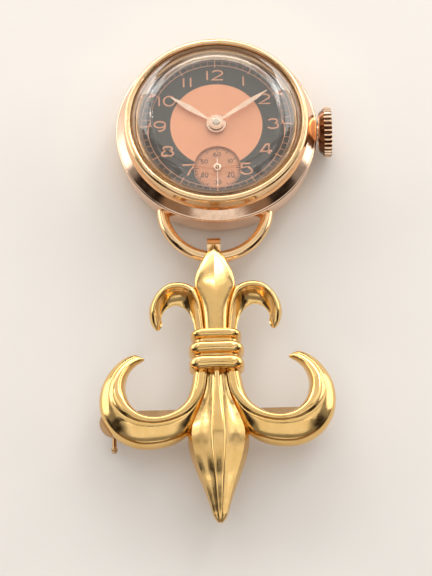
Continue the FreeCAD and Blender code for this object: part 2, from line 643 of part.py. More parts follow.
# ---------------------------------------------------------------- keyless works
def along_x(shape, x):
    """Turns a solid built along Z about the origin to lie along X on the stem's line."""
    copy = shape.copy()
    copy.rotate(V(0, 0, 0), V(0, 1, 0), 90)
    copy.translate(V(x, 0, STEM_Z))
    return copy


def winding_pinion():
    blank = gear_blank(WINDING_GEAR, 0, 1.0, (0, 0), 180.0 / WINDING_GEAR[0], 0.55)
    return along_x(blank.cut(disc(STEM_R + FIT, -1, 2)), 8.2)


def sliding_pinion():
    body = turned((STEM_R + FIT, 6.72), [
        (1.1, 6.72), (1.1, 6.87), (0.75, 6.87), (0.75, 7.33), (1.25, 7.33), (1.25, 8.0), (STEM_R + FIT, 8.0)])
    return along_x(body, 0)


def winding_stem():
    pieces = [rod_x(0.27, 5.6, 6.45, 0, STEM_Z), rod_x(STEM_R, 6.45, 13.7, 0, STEM_Z),
              rod_x(0.3, 13.6, 14.6, 0, STEM_Z)]
    groove = rod_x(STEM_R + 0.1, 9.58, 9.92, 0, STEM_Z).cut(rod_x(0.25, 9.5, 10, 0, STEM_Z))
    return fuse(pieces).cut(groove)


def crown():
    points = []
    for tooth in range(CROWN_TEETH):
        for share, radius in ((-0.3, 3.18), (-0.12, CROWN_R), (0.12, CROWN_R), (0.3, 3.18)):
            points.append(polar((0, 0), radius, (tooth + share) * 360.0 / CROWN_TEETH))
    x0, x1 = CROWN_X
    knurl = slab(points, x0, x1)
    dome = turned((0, x0), [(3.1, x0), (3.5, x0 + 0.35), (3.5, x1 - 0.55), (2.95, x1 - 0.12),
                            ((1.5, x1 - 0.02), (0, x1))])
    socket = [disc(1.35, x0, x0 + 0.6), disc(STEM_R, x0, x0 + 0.61), disc(0.3, x0, x0 + 1.0)]
    return along_x(cut(knurl.common(dome), socket), 0)


def setting_lever():
    z0, z1 = 4.46, 4.8
    arm = tapered_bar(LEVER_AT, (LEVER_AT[0], 0), 0.5, 0.2, z0, z1)
    peg = disc(0.12, 4.29, z1, (LEVER_AT[0], 0))
    return fuse([arm, peg]).cut(disc(0.23, 4, 5, LEVER_AT))


def yoke():
    z0, z1 = 4.46, 4.8
    arm = tapered_bar(YOKE_AT, (YOKE_AT[0], 1.5), 0.4, 0.16, z0, z1)
    nose = block((YOKE_AT[0] - 0.1, YOKE_AT[0] + 0.1), (0.88, 1.6), (z0, z1))
    return fuse([arm, nose]).cut(disc(0.23, 4, 5, YOKE_AT))


def studs():
    """Fixed posts that the click, the levers and the dial-side wheels turn on."""
    click_post = fuse([disc(0.2, 1.9, RECESS_Z, CLICK_AT), disc(0.42, 1.6, 1.93, CLICK_AT)])
    return Part.makeCompound([
        click_post, disc(0.2, 4.44, PLATE_Z[0], LEVER_AT), disc(0.2, 4.44, PLATE_Z[0], YOKE_AT),
        disc(0.2, MOTION_FLOOR_Z, 6.2, MINUTE_WHEEL_AT), disc(0.3, MOTION_FLOOR_Z, 6.2, SETTING_WHEEL_AT)])


# ---------------------------------------------------------------- brooch
def ridged_loft(sections, ruled):
    """Loft through five-cornered sections: two back corners, two edges and a ridge."""
    wires = []
    for corners in sections:
        wires.append(Part.makePolygon(corners + corners[:1]))
    return Part.makeLoft(wires, True, ruled)


def leaf(stations):
    sections = []
    for y, half, edge_z, ridge_z in stations:
        sections.append([V(-half, y, BROOCH_BACK_Z), V(-half, y, edge_z), V(0, y, ridge_z),
                         V(half, y, edge_z), V(half, y, BROOCH_BACK_Z)])
    return ridged_loft(sections, False)


def scroll(stations):
    sections = []
    for outer, inner, edge_z, ridge_z in stations:
        middle = ((outer[0] + inner[0]) / 2, (outer[1] + inner[1]) / 2)
        sections.append([V(outer[0], outer[1], BROOCH_BACK_Z), V(outer[0], outer[1], edge_z),
                         V(middle[0], middle[1], ridge_z), V(inner[0], inner[1], edge_z),
                         V(inner[0], inner[1], BROOCH_BACK_Z)])
    return ridged_loft(sections, True)


def hung(shape):
    return moved(shape, HANG_X, 0)


def scroll_pair(stations, centre_leaf):
    left = scroll(stations).cut(centre_leaf)
    left = max(left.Solids, key=lambda solid: solid.Volume)
    return hung(Part.makeCompound([left, mirrored(left)]))


def collar_bar(half, top_z, y0, y1, corner):
    """One band of the collar: a rounded oblong across X, extruded along Y."""
    bottom_z = 4.45
    face = Part.Face(Part.makePolygon([
        V(-half, y0, bottom_z), V(half, y0, bottom_z), V(half, y0, top_z), V(-half, y0, top_z),
        V(-half, y0, bottom_z)]))
    bar = face.extrude(V(0, y1 - y0, 0))
    long_edges = [e for e in bar.Edges if abs(e.tangentAt(e.FirstParameter).y) > 0.9
                  and e.CenterOfMass.z > bottom_z + 0.1]
    bar = bar.makeFillet(1.1, long_edges)
    rims = [e for e in bar.Edges if abs(e.CenterOfMass.y - y0) < 1e-6 or abs(e.CenterOfMass.y - y1) < 1e-6]
    return bar.makeFillet(corner, [e for e in rims if e.BoundBox.ZMax > bottom_z + 0.2])


def collar():
    y0, y1 = COLLAR_Y
    core = collar_bar(COLLAR_HALF - 0.4, COLLAR_TOP_Z - 0.4, y0, y1, 0.1)
    bars = [collar_bar(COLLAR_HALF, COLLAR_TOP_Z, low, high, 0.35)
            for low, high in ((-30.6, y1), (-32.6, -31.05), (y0, -33.1))]
    return hung(fuse([core] + bars))


def back_bar():
    return hung(block(BAR_X, BAR_Y, (3.9, BROOCH_BACK_Z)))


def hanging_loop():
    half = LOOP_WIDTH / 2
    centre = (HANG_Y + LOOP_SHIFT[0], BOW_Z + LOOP_SHIFT[1])
    ring = rod_x(LOOP_R[1], -half, half, *centre)
    ring = ring.cut(rod_x(LOOP_R[0], -half, half, *centre))
    return hung(ring.cut(leaf(UPPER_LEAF)))


def pin_joint():
    """The hinge bracket: a base under the scroll and two cheeks."""
    x0, x1 = PIN_HINGE_X - 0.8, PIN_HINGE_X + 0.8
    base = disc(1.75, FITTING_Z, BROOCH_BACK_Z, (PIN_HINGE_X + 0.4, PIN_Y - 1.0))
    base = base.cut(block(BAR_X, BAR_Y, (3.9, BROOCH_BACK_Z)))
    parts = [base]
    for low, high in ((PIN_Y + 0.5, PIN_Y + 0.9), (PIN_Y - 0.9, PIN_Y - 0.5)):
        parts.append(block((x0, x1), (low, high), (PIN_Z, FITTING_Z)))
        parts.append(rod_y(0.8, low, high, PIN_HINGE_X, PIN_Z))
    return hung(fuse(parts).cut(rod_y(0.3, PIN_Y - 2, PIN_Y + 2, PIN_HINGE_X, PIN_Z)))


def joint_rivet():
    shank = rod_y(0.3, PIN_Y - 1.0, PIN_Y + 1.0, PIN_HINGE_X, PIN_Z)
    heads = [rod_y(0.5, PIN_Y - 1.05, PIN_Y - 0.9, PIN_HINGE_X, PIN_Z),
             rod_y(0.5, PIN_Y + 0.9, PIN_Y + 1.05, PIN_HINGE_X, PIN_Z)]
    return hung(fuse([shank] + heads))


def pin_stem():
    knuckle = rod_y(0.72, PIN_Y - 0.45, PIN_Y + 0.45, PIN_HINGE_X, PIN_Z)
    wire = rod_x(PIN_R, -12.3, PIN_HINGE_X - 0.3, PIN_Y, PIN_Z)
    point = Part.makeCone(0.04, PIN_R, 1.9, V(PIN_TIP_X, PIN_Y, PIN_Z), V(1, 0, 0))
    return hung(fuse([knuckle, wire, point]).cut(rod_y(0.33, PIN_Y - 1, PIN_Y + 1, PIN_HINGE_X, PIN_Z)))


def catch_housing():
    ring = rod_x(CATCH_R[1], CATCH_X[0], CATCH_X[1], PIN_Y, PIN_Z)
    foot = block(CATCH_X, (PIN_Y - 0.9, PIN_Y + 0.6), (PIN_Z + 1.2, FITTING_Z))
    gap = block(CATCH_X, (PIN_Y - 0.45, PIN_Y + 0.45), (PIN_Z - 2, PIN_Z))
    base = disc(CATCH_BASE[2], FITTING_Z, BROOCH_BACK_Z, CATCH_BASE[:2])
    return hung(cut(fuse([ring, foot, base]), [rod_x(CATCH_R[0], CATCH_X[0], CATCH_X[1], PIN_Y, PIN_Z), gap]))


def catch_rotor():
    x0, x1 = CATCH_X[0] - 0.9, CATCH_X[1]
    drum = rod_x(CATCH_R[0] - 0.04, x0, x1, PIN_Y, PIN_Z)
    lever = rod_y(0.3, LEVER_END_Y, PIN_Y - 0.6, LEVER_X, PIN_Z)
    knob = Part.makeSphere(0.42, V(LEVER_X, LEVER_END_Y + 0.42, PIN_Z))
    gap = block((x0, x1), (PIN_Y - 0.42, PIN_Y + 0.42), (PIN_Z - 2, PIN_Z))
    return hung(cut(fuse([drum, lever, knob]), [rod_x(0.42, x0, x1, PIN_Y, PIN_Z), gap]))


# ---------------------------------------------------------------- output
def parts_list():
    case = {
        "case_middle": case_middle(), "case_tube": case_tube(), "bezel": bezel(), "crystal": crystal(),
        "case_back": case_back(), "bow": bow(), "movement_ring": movement_ring()}
    face = {
        "dial": dial(), "seconds_dial": seconds_dial(), "hour_hand": hour_hand(),
        "minute_hand": minute_hand(), "seconds_hand": seconds_hand()}
    frame = {
        "main_plate": main_plate(), "barrel_bridge": barrel_bridge(), "train_bridge": train_bridge(),
        "balance_cock": balance_cock(), "pallet_cock": pallet_cock(), "bridge_screws": bridge_screws(),
        "jewels": jewels()}
    power = {
        "mainspring_barrel": mainspring_barrel(), "barrel_cover": barrel_cover(),
        "barrel_arbor": barrel_arbor(), "mainspring": mainspring(), "ratchet_wheel": ratchet_wheel(),
        "crown_wheel": crown_wheel(), "click": click(), "click_spring": click_spring()}
    train = {
        "center_wheel": centre_wheel(), "third_wheel": third_wheel(), "fourth_wheel": fourth_wheel(),
        "escape_wheel": escape_wheel(), "pallet_fork": pallet_fork(), "balance_wheel": balance_wheel(),
        "balance_staff": balance_staff(), "roller": roller(), "hairspring": hairspring(),
        "regulator": regulator()}
    motion = {
        "cannon_pinion": cannon_pinion(), "minute_wheel": minute_wheel(), "hour_wheel": hour_wheel(),
        "setting_wheel": setting_wheel(), "studs": studs()}
    keyless = {
        "winding_pinion": winding_pinion(), "sliding_pinion": sliding_pinion(),
        "winding_stem": winding_stem(), "crown": crown(), "setting_lever": setting_lever(), "yoke": yoke()}
    upper = leaf(UPPER_LEAF)
    lower = leaf(LOWER_LEAF)
    brooch = {
        "upper_leaf": hung(upper), "small_scrolls": scroll_pair(SMALL_SCROLL, upper), "collar": collar(),
        "lower_leaf": hung(lower), "large_scrolls": scroll_pair(LARGE_SCROLL, lower),
        "back_bar": back_bar(), "hanging_loop": hanging_loop(), "pin_joint": pin_joint(),
        "joint_rivet": joint_rivet(), "pin_stem": pin_stem(),
        "catch_housing": catch_housing(), "catch_rotor": catch_rotor()}
    nodes = {}
    for group in (case, face, frame, power, train, motion, keyless, brooch):
        nodes.update(group)
    return nodes


def main():
    os.makedirs("parts", exist_ok=True)
    nodes = parts_list()
    for name, shape in nodes.items():
        if not shape.isValid():
            print("not valid:", name)
        shape.exportStep("parts/" + name + ".step")
        print(name, len(shape.Solids), round(shape.Volume, 3))
    print(len(nodes), "nodes")


main()
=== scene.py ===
import json
import math

import bmesh
import bpy
from mathutils import Matrix, Vector


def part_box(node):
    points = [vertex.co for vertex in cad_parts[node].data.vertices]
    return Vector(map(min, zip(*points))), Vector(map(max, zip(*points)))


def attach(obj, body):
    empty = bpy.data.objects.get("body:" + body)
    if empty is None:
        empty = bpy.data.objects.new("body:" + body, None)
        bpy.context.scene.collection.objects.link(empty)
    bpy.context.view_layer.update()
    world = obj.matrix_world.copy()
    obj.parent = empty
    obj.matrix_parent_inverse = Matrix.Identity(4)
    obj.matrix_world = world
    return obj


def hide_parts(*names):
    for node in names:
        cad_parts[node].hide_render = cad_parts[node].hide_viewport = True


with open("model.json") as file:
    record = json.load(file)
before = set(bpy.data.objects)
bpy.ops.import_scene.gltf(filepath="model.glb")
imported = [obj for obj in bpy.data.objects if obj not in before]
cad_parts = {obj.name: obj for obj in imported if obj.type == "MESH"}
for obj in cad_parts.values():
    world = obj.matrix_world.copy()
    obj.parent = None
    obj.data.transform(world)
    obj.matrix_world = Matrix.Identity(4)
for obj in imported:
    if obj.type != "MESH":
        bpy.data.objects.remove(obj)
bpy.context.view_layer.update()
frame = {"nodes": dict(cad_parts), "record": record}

# Fob watch on a fleur-de-lis brooch.  Shapes are written in millimetres and scaled by MM.
MM = 0.001

# ---------------------------------------------------------------- sizes shared with the CAD
COLLAR_LOW, COLLAR_HIGH = [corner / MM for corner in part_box("collar")]
HANG_X = (COLLAR_LOW.x + COLLAR_HIGH.x) / 2
BROOCH_BACK_Z = 4.6
DIAL_TOP = 6.7
SECONDS_AT = (0.0, -6.3)
SECONDS_TOP = 6.5
STEM_HEIGHT = 4.0

# ---------------------------------------------------------------- brooch shapes
# Half outlines of the leaves: (y, half width, edge height, ridge height).
UPPER_LEAF = [
    (-16.6, 0.12, 5.1, 5.4), (-18.1, 1.1, 5.1, 5.9), (-19.75, 1.95, 5.1, 6.28),
    (-21.2, 2.5, 5.15, 6.52), (-22.6, 2.7, 5.2, 6.66), (-23.7, 2.35, 5.2, 6.71),
    (-25.1, 1.95, 5.2, 6.7), (-26.6, 1.68, 5.2, 6.62), (-29.6, 1.45, 5.2, 6.4)]
LOWER_LEAF = [
    (-34.4, 1.3, 5.3, 6.6), (-37.0, 1.6, 5.3, 6.85), (-39.0, 2.25, 5.3, 7.1),
    (-41.0, 3.15, 5.33, 7.35), (-42.7, 3.8, 5.35, 7.5), (-44.2, 3.86, 5.35, 7.48),
    (-46.0, 3.5, 5.33, 7.3), (-48.2, 2.75, 5.25, 6.9), (-50.3, 1.95, 5.1, 6.35),
    (-52.2, 1.32, 5.0, 5.9), (-53.8, 0.85, 4.9, 5.5), (-54.6, 0.25, 4.8, 5.1)]

# The left scrolls, with x from the brooch's middle: outer edge x, y, inner edge x, y,
# edge height, ridge height, and where the arris lies from the outer edge (0) to the inner (1).
SMALL_SCROLL = [
    (-1.35, -29.3, -2.6, -29.3, 5.1, 5.9, 0.5), (-1.5, -27.6, -2.85, -27.6, 5.1, 6.1, 0.48),
    (-1.6, -26.2, -3.3, -26.5, 5.1, 6.2, 0.45), (-1.9, -24.6, -3.8, -25.75, 5.1, 6.4, 0.43),
    (-2.6, -22.95, -4.5, -25.25, 5.1, 6.5, 0.42), (-4.2, -22.2, -5.2, -25.1, 5.1, 6.6, 0.42),
    (-6.1, -22.35, -6.1, -25.4, 5.1, 6.6, 0.44), (-7.55, -23.5, -6.75, -26.1, 5.1, 6.5, 0.5),
    (-8.4, -25.0, -7.0, -26.8, 5.0, 6.2, 0.58), (-8.6, -26.3, -6.95, -27.4, 5.0, 5.9, 0.63),
    (-8.3, -27.7, -7.0, -28.05, 4.9, 5.4, 0.66), (-7.65, -28.6, -7.3, -28.5, 4.8, 4.95, 0.66)]
LARGE_SCROLL = [
    (-1.2, -34.4, -3.0, -34.4, 5.2, 6.4, 0.02), (-1.5, -37.6, -3.5, -37.1, 5.2, 6.5, 0.1),
    (-2.4, -40.4, -4.3, -38.8, 5.2, 6.7, 0.34), (-3.6, -42.7, -5.5, -39.9, 5.2, 6.9, 0.56),
    (-5.7, -44.15, -6.9, -40.6, 5.2, 7.1, 0.66), (-8.2, -44.7, -8.3, -40.75, 5.2, 7.2, 0.68),
    (-10.6, -44.5, -9.75, -40.2, 5.2, 7.2, 0.64), (-12.9, -43.25, -10.9, -39.0, 5.2, 7.1, 0.56),
    (-14.4, -41.3, -11.5, -37.6, 5.2, 6.9, 0.48), (-15.05, -38.9, -11.7, -36.3, 5.1, 6.7, 0.44),
    (-14.75, -36.3, -11.5, -35.1, 5.1, 6.4, 0.45), (-13.6, -34.1, -11.0, -34.05, 5.0, 6.0, 0.45),
    (-12.1, -32.6, -10.3, -33.3, 5.0, 5.6, 0.45), (-10.6, -31.95, -9.75, -32.95, 4.9, 5.3, 0.45),
    (-9.45, -32.35, -9.25, -32.6, 4.8, 4.95, 0.45)]

# Leaf half profile from the middle: (share of the half width, share of the height).
UPPER_PROFILE = [
    (0.0, 1.0), (0.28, 0.86), (0.6, 0.68), (0.88, 0.47), (0.97, 0.3), (1.0, -0.2, "sharp")]
LOWER_PROFILE = [
    (0.0, 1.0), (0.12, 1.0), (0.19, 0.98, "sharp"), (0.23, 0.9), (0.45, 0.78), (0.65, 0.7),
    (0.86, 0.6, "sharp"), (0.93, 0.25), (1.0, -0.2, "sharp")]
# Scroll profiles: (share from the outer edge to the arris or from the arris to the inner edge, height).
SMALL_BAND = [(0.0, -0.1), (0.08, 0.35), (0.3, 0.82), (0.6, 1.0), (0.85, 0.93), (1.0, 0.74, "sharp")]
SMALL_FACE = [(0.05, 0.58), (0.3, 0.22), (0.65, -0.12), (1.0, -0.33)]
LARGE_FLANK = [(0.0, -0.2), (0.04, 0.1), (0.2, 0.42), (0.55, 0.7), (0.86, 0.87), (1.0, 0.85, "sharp")]
LARGE_BAND = [(0.05, 0.88), (0.18, 0.97), (0.4, 1.0), (0.62, 0.92), (0.8, 0.7), (0.93, 0.3), (1.0, -0.2)]
EDGE_RISE = 0.1

# The collar's bands: lowest z, height of the straight sides, power that squares the shoulders,
# steps along and across, how far the swelling leans inward, and the size of the hidden core.
BAND_BOTTOM_Z = 4.45
BAND_SIDE_HEIGHT = 0.7
BAND_SQUARENESS = 0.55
BAND_PATH_STEPS = 32
BAND_SECTION_STEPS = 12
BAND_LEAN = 0.8
BAND_CORE = 0.55
# Name; from and to, as shares of the collar's length from its upper end; narrower and lower than
# the collar by; swelling.
COLLAR_PARTS = [
    ("band_a", 0.0, 0.23, 0.3, 0.15, 0.7), ("band_b", 0.32, 0.61, 0.0, 0.0, 0.8),
    ("band_c", 0.67, 1.0, 0.0, 0.0, 0.85), ("groove_a", 0.18, 0.36, 0.8, 0.8, 0.1),
    ("groove_b", 0.56, 0.72, 0.7, 0.75, 0.1)]

# ---------------------------------------------------------------- glass, seconds hand and crown
# Outlines of the glass (r, z): the outside from the middle down, the inside from the foot up.
GLASS_OUTER = [
    (0.6, 10.15), (4.0, 10.11), (6.8, 10.04), (8.1, 9.96), (8.75, 9.84), (9.2, 9.66), (9.7, 9.36),
    (10.4, 8.98), (11.0, 8.68), (11.28, 8.4), (11.33, 8.1), (11.33, 6.8)]
GLASS_INNER = [
    (10.65, 6.8), (10.65, 8.0), (10.3, 8.4), (9.5, 8.86), (8.8, 9.25), (8.2, 9.45), (6.8, 9.56),
    (4.0, 9.63), (0.6, 9.67)]

# The seconds hand: heights of its under side, shoulders and ridge, (distance along it, half width)
# from the tail to the tip, and the hub's outline (r, z).
NEEDLE_LOW, NEEDLE_HIGH = 6.64, 6.73
NEEDLE_SHOULDER = NEEDLE_HIGH - 0.03
NEEDLE_STATIONS = [(1.3, 0.09), (0.4, 0.07), (-0.4, 0.07), (-2.0, 0.06), (-2.75, 0.04)]
NEEDLE_HUB = [
    (0.24, NEEDLE_LOW), (0.24, 6.78), (0.3, 6.83), (0.42, 6.84), (0.5, 6.8), (0.52, NEEDLE_LOW)]

CROWN_TEETH = 32
STEPS_PER_TOOTH = 10
# From the bore round the case tube out to the end: x, radius, depth of the grooves.
CROWN_STATIONS = [
    (14.2, 1.35, 0.0), (13.62, 1.35, 0.0), (13.62, 1.9, 0.0), (13.66, 2.35, 0.0),
    (13.9, 2.75, 0.0), (14.3, 3.05, 0.0), (14.36, 3.22, 0.1), (14.44, 3.34, 0.3), (14.6, 3.39, 0.34),
    (15.2, 3.39, 0.34), (15.34, 3.34, 0.26), (15.4, 3.2, 0.08), (15.43, 3.0, 0.0), (15.47, 1.8, 0.0),
    (15.49, 0.8, 0.0)]

# ---------------------------------------------------------------- dial printing
INK_THICK = 0.01
RING_STEPS = 144
NUMERAL_R = 7.55
NUMERAL_SIZE = (1.5, 1.42)
NUMERAL_GAP = 0.62
ELEVEN_GAP = 0.95
NUMERAL_STROKE = 0.22
MINUTE_TRACK = (9.04, 9.85)
TRACK_STROKES = (0.09, 0.07)
MINUTE_TICK_STROKE = 0.06
HOUR_TICKS = (8.75, 10.1)
HOUR_TICK_STROKE = 0.13
SECONDS_NUMERAL_R = 2.0
SECONDS_NUMERAL_SIZE = (0.36, 0.52)
SECONDS_NUMERAL_GAP = 0.17
SECONDS_NUMERAL_STROKE = 0.1
SECONDS_TRACK = (2.66, 2.98)
SECONDS_RING_STROKE = 0.07
SECONDS_TICK_STROKE = 0.075
TEN_SECOND_TICKS = (2.46, 2.98)
TEN_SECOND_STROKE = 0.11

# ---------------------------------------------------------------- colours set by place
# Radius of the dial's copper centre, where the painted bronze reflection of the bezel starts and ends at
# its rim, and the radius its ramps span.
DIAL_COPPER_R = 6.15
DIAL_REFLECTION_R = (10.1, 10.6)
DIAL_SPAN_R = 12.0
# Where the crown's painted shade gives way to bare gold, from and to: its radius at the ribs,
# its x at the end, and its radius on the inner face. Between the rib tops and on the cone towards
# the case it is painted shade brown.
RIB_TOP_R = (3.16, 3.28)
END_FACE_X = (15.36, 15.4)
INNER_FACE_R = (2.5, 2.35)
# Painted shade in the crown's grooves and on its cone towards the case.
CROWN_SHADE_BROWN = (0.14, 0.06, 0.028)
RIB_GOLD = (0.98, 0.7, 0.5)
# Golds as (light, dark).
YELLOW = ((0.88, 0.585, 0.24), (0.81, 0.515, 0.185))
PALE_YELLOW = ((0.97, 0.675, 0.385), (0.92, 0.605, 0.31))
ROSE = ((0.94, 0.68, 0.51), (0.89, 0.61, 0.43))

# ---------------------------------------------------------------- studio, in metres and degrees
LIT_POINT = Vector((0.0, -0.02, 0.0))
SOFTBOX_DISTANCE = 0.6
CARD_DISTANCE = 0.5
LAMP_COLOUR = (1.0, 0.98, 0.95)
# Lamps: name, azimuth, elevation, size, radiance.
SOFTBOXES = [
    ("back_sweep", 0, 22, (0.95, 0.16), 5.15), ("overhead", 0, 54, (0.72, 0.42), 0.64),
    ("back_upper", 0, 33.5, (0.8, 0.08), 1.5),
    ("left_sweep", -65, 15, (0.5, 0.34), 2.1), ("right_sweep", 65, 15, (0.5, 0.34), 2.1),
    ("left_high", -58, 48, (0.26, 0.22), 0.6), ("right_high", 58, 48, (0.26, 0.22), 0.6),
    ("left_fill", -98, 56, (0.24, 0.24), 0.55), ("right_fill", 98, 56, (0.24, 0.24), 0.75),
    ("zenith", 0, 86, (0.5, 0.22), 0.6),
    ("front_top", 180, 63, (0.7, 0.3), 0.75), ("front_low", 180, 26, (0.5, 0.08), 0.8),
    ("key_right", 33, 40, (0.06, 0.24), 6.0), ("glint_left", -42, 47, (0.03, 0.05), 9.0)]
DARK = (0.02, 0.013, 0.008)
BROWN = (0.26, 0.16, 0.09)
# Cards: name, azimuth, elevation, size, colour.
CARDS = [
    ("dark_left", -114, 37, (0.18, 0.17), DARK), ("dark_right", 114, 37, (0.18, 0.17), DARK),
    ("dark_low_left", -112, 16, (0.26, 0.18), DARK), ("dark_low_right", 118, 16, (0.24, 0.18), DARK),
    ("dark_side", -104, 53, (0.08, 0.14), DARK), ("dark_top", 180, 81, (0.06, 0.09), DARK),
    ("brown_front", 180, 12, (0.36, 0.14), BROWN), ("brown_left", -145, 13, (0.34, 0.2), BROWN),
    ("brown_right", 145, 13, (0.34, 0.2), BROWN)]
# The floor, in mm: half its side and its height, just under the case back so they share no plane.
FLOOR_HALF = 900
FLOOR_Z = -0.02
ROOM_COLOUR = (1.0, 0.965, 0.92, 1.0)
ROOM_STRENGTH = 0.27
CAMERA_ELEVATION = 66.5
CAMERA_ROLL = 1.45
CAMERA_DISTANCE = 0.2914
# In mm.
CAMERA_TARGET = (-0.588, -20.703, 0.0)
SENSOR_HEIGHT = 36.0
LENS = 137.5

# ---------------------------------------------------------------- mesh helpers


def smooth_path(stations, steps):
    """Catmull-Rom through tuples of any length."""
    out = []
    last = len(stations) - 1
    for i in range(last):
        p0, p1 = stations[max(i - 1, 0)], stations[i]
        p2, p3 = stations[i + 1], stations[min(i + 2, last)]
        for k in range(steps):
            t = k / steps
            out.append(tuple(
                0.5 * (2 * b + (c - a) * t + (2 * a - 5 * b + 4 * c - d) * t * t
                       + (3 * b - a - 3 * c + d) * t ** 3)
                for a, b, c, d in zip(p0, p1, p2, p3)))
    out.append(stations[-1])
    return out


def smooth_profile(points, steps):
    """Refine a profile.  A point marked sharp keeps its corner; the rest are smoothed."""
    out = []
    run = [points[0][:2]]
    for point in points[1:]:
        run.append(point[:2])
        if len(point) == 3 or point is points[-1]:
            fine = smooth_path(run, steps) if len(run) > 2 else run
            out += fine if not out else fine[1:]
            run = [point[:2]]
    return out


def mesh_object(name, verts, faces, sharp_degrees=32.0):
    """A smooth-shaded mesh from points in millimetres; edges past the angle stay sharp."""
    mesh = bpy.data.meshes.new(name)
    mesh.from_pydata([[c * MM for c in v] for v in verts], [], faces)
    mesh.validate()
    mesh.shade_smooth()
    if sharp_degrees:
        mesh.set_sharp_from_angle(angle=math.radians(sharp_degrees))
    obj = bpy.data.objects.new(name, mesh)
    bpy.context.scene.collection.objects.link(obj)
    return obj


def skin(name, rings, closed_run=False, capped=True, sharp_degrees=32.0):
    """Skin equal closed rings of points; cap the two ends or close the run on itself."""
    n = len(rings[0])
    verts = [p for ring in rings for p in ring]
    faces = []
    spans = len(rings) if closed_run else len(rings) - 1
    for i in range(spans):
        a, b = i * n, (i + 1) % len(rings) * n
        for k in range(n):
            m = (k + 1) % n
            faces.append((a + k, a + m, b + m, b + k))
    if capped and not closed_run:
        faces.append(tuple(range(n - 1, -1, -1)))
        faces.append(tuple(range(len(verts) - n, len(verts))))
    return mesh_object(name, verts, faces, sharp_degrees)


def turned(name, profile, at=(0.0, 0.0), steps=160, closed=False, sharp_degrees=32.0):
    """Turn (r, z) points about a vertical axis: a closed outline, or a run capped at both ends."""
    rings = []
    for r, z in profile:
        rings.append([(at[0] + r * math.cos(2 * math.pi * i / steps),
                       at[1] + r * math.sin(2 * math.pi * i / steps), z) for i in range(steps)])
    obj = skin(name, rings, closed_run=closed, sharp_degrees=sharp_degrees)
    shell = bmesh.new()
    shell.from_mesh(obj.data)
    bmesh.ops.recalc_face_normals(shell, faces=shell.faces)
    shell.to_mesh(obj.data)
    shell.free()
    return obj


def joined(name, objects):
    """Put the meshes of several new objects into the first."""
    verts, faces = [], []
    for obj in objects:
        start = len(verts)
        verts += [tuple(c / MM for c in v.co) for v in obj.data.vertices]
        faces += [tuple(start + i for i in p.vertices) for p in obj.data.polygons]
        bpy.data.objects.remove(obj)
    return mesh_object(name, verts, faces)


def mirrored_rings(rings):
    """The same rings on the right-hand side, wound so that the faces still look outward."""
    return [[(2 * HANG_X - x, y, z) for x, y, z in reversed(ring)] for ring in rings]


# ---------------------------------------------------------------- brooch


def leaf_rings(stations, profile, steps):
    """Cross sections of a leaf from its stations, symmetrical about the brooch's middle."""
    half_profile = smooth_profile(profile, 5)
    full = [(-u, h) for u, h in reversed(half_profile)] + half_profile[1:]
    rings = []
    for y, half, edge_z, ridge_z in smooth_path(stations, steps):
        ring = [(HANG_X + u * half, y, edge_z + h * (ridge_z - edge_z)) for u, h in full]
        ring = [(x, y, max(z, BROOCH_BACK_Z + EDGE_RISE)) for x, y, z in ring]
        rings.append([(HANG_X - half, y, BROOCH_BACK_Z)] + ring + [(HANG_X + half, y, BROOCH_BACK_Z)])
    return rings


def scroll_rings(stations, outer_profile, inner_profile, steps):
    """Cross sections of the left scroll: outer edge to arris to inner edge, then its flat back."""
    outer_fine = smooth_profile(outer_profile, 5)
    inner_fine = smooth_profile(inner_profile, 5)
    rings = []
    for ox, oy, ix, iy, edge_z, ridge_z, arris in smooth_path(stations, steps):
        shares = [(u * arris, h) for u, h in outer_fine]
        shares += [(arris + u * (1 - arris), h) for u, h in inner_fine]
        ring = [(HANG_X + ox, oy, BROOCH_BACK_Z)]
        for t, h in shares:
            z = max(edge_z + h * (ridge_z - edge_z), BROOCH_BACK_Z + EDGE_RISE)
            ring.append((HANG_X + ox + (ix - ox) * t, oy + (iy - oy) * t, z))
        ring.append((HANG_X + ix, iy, BROOCH_BACK_Z))
        rings.append(ring)
    return rings


def scroll_pair(name, stations, outer_profile, inner_profile):
    """The left scroll and its mirror image, as one piece."""
    rings = scroll_rings(stations, outer_profile, inner_profile, 12)
    left = skin(name + "_left", rings, sharp_degrees=28.0)
    right = skin(name + "_right", mirrored_rings(rings), sharp_degrees=28.0)
    return joined(name, [left, right])


def collar_band(name, y0, y1, half, top_z, swell):
    """One band round the stems: a rounded section swept over the front and down the sides."""
    spring_z = BAND_BOTTOM_Z + BAND_SIDE_HEIGHT
    path = [(-half, BAND_BOTTOM_Z)]
    for k in range(BAND_PATH_STEPS + 1):
        a = math.pi * (1 - k / BAND_PATH_STEPS)
        round_x = math.copysign(abs(math.cos(a)) ** BAND_SQUARENESS, math.cos(a))
        path.append((half * round_x, spring_z + (top_z - spring_z) * math.sin(a) ** BAND_SQUARENESS))
    path.append((half, BAND_BOTTOM_Z))
    section = [(0.0, 1.0)]
    for k in range(1, BAND_SECTION_STEPS):
        a = math.pi * k / BAND_SECTION_STEPS
        section.append((0.5 - 0.5 * math.cos(a), 1 - math.sin(a)))
    section.append((1.0, 1.0))
    middle = Vector((0.0, (top_z + BAND_BOTTOM_Z) / 2))
    rings = []
    for x, z in path:
        inward = (middle - Vector((x * BAND_LEAN, z))).normalized()
        ring = []
        for share, depth in section:
            ring.append((HANG_X + x + inward.x * depth * swell, y0 + (y1 - y0) * share,
                         z + inward.y * depth * swell))
        core = (HANG_X + x * BAND_CORE, z * BAND_CORE + middle.y * (1 - BAND_CORE))
        ring += [(core[0], y1, core[1]), (core[0], y0, core[1])]
        rings.append(ring)
    return skin(name, rings, sharp_degrees=50.0)


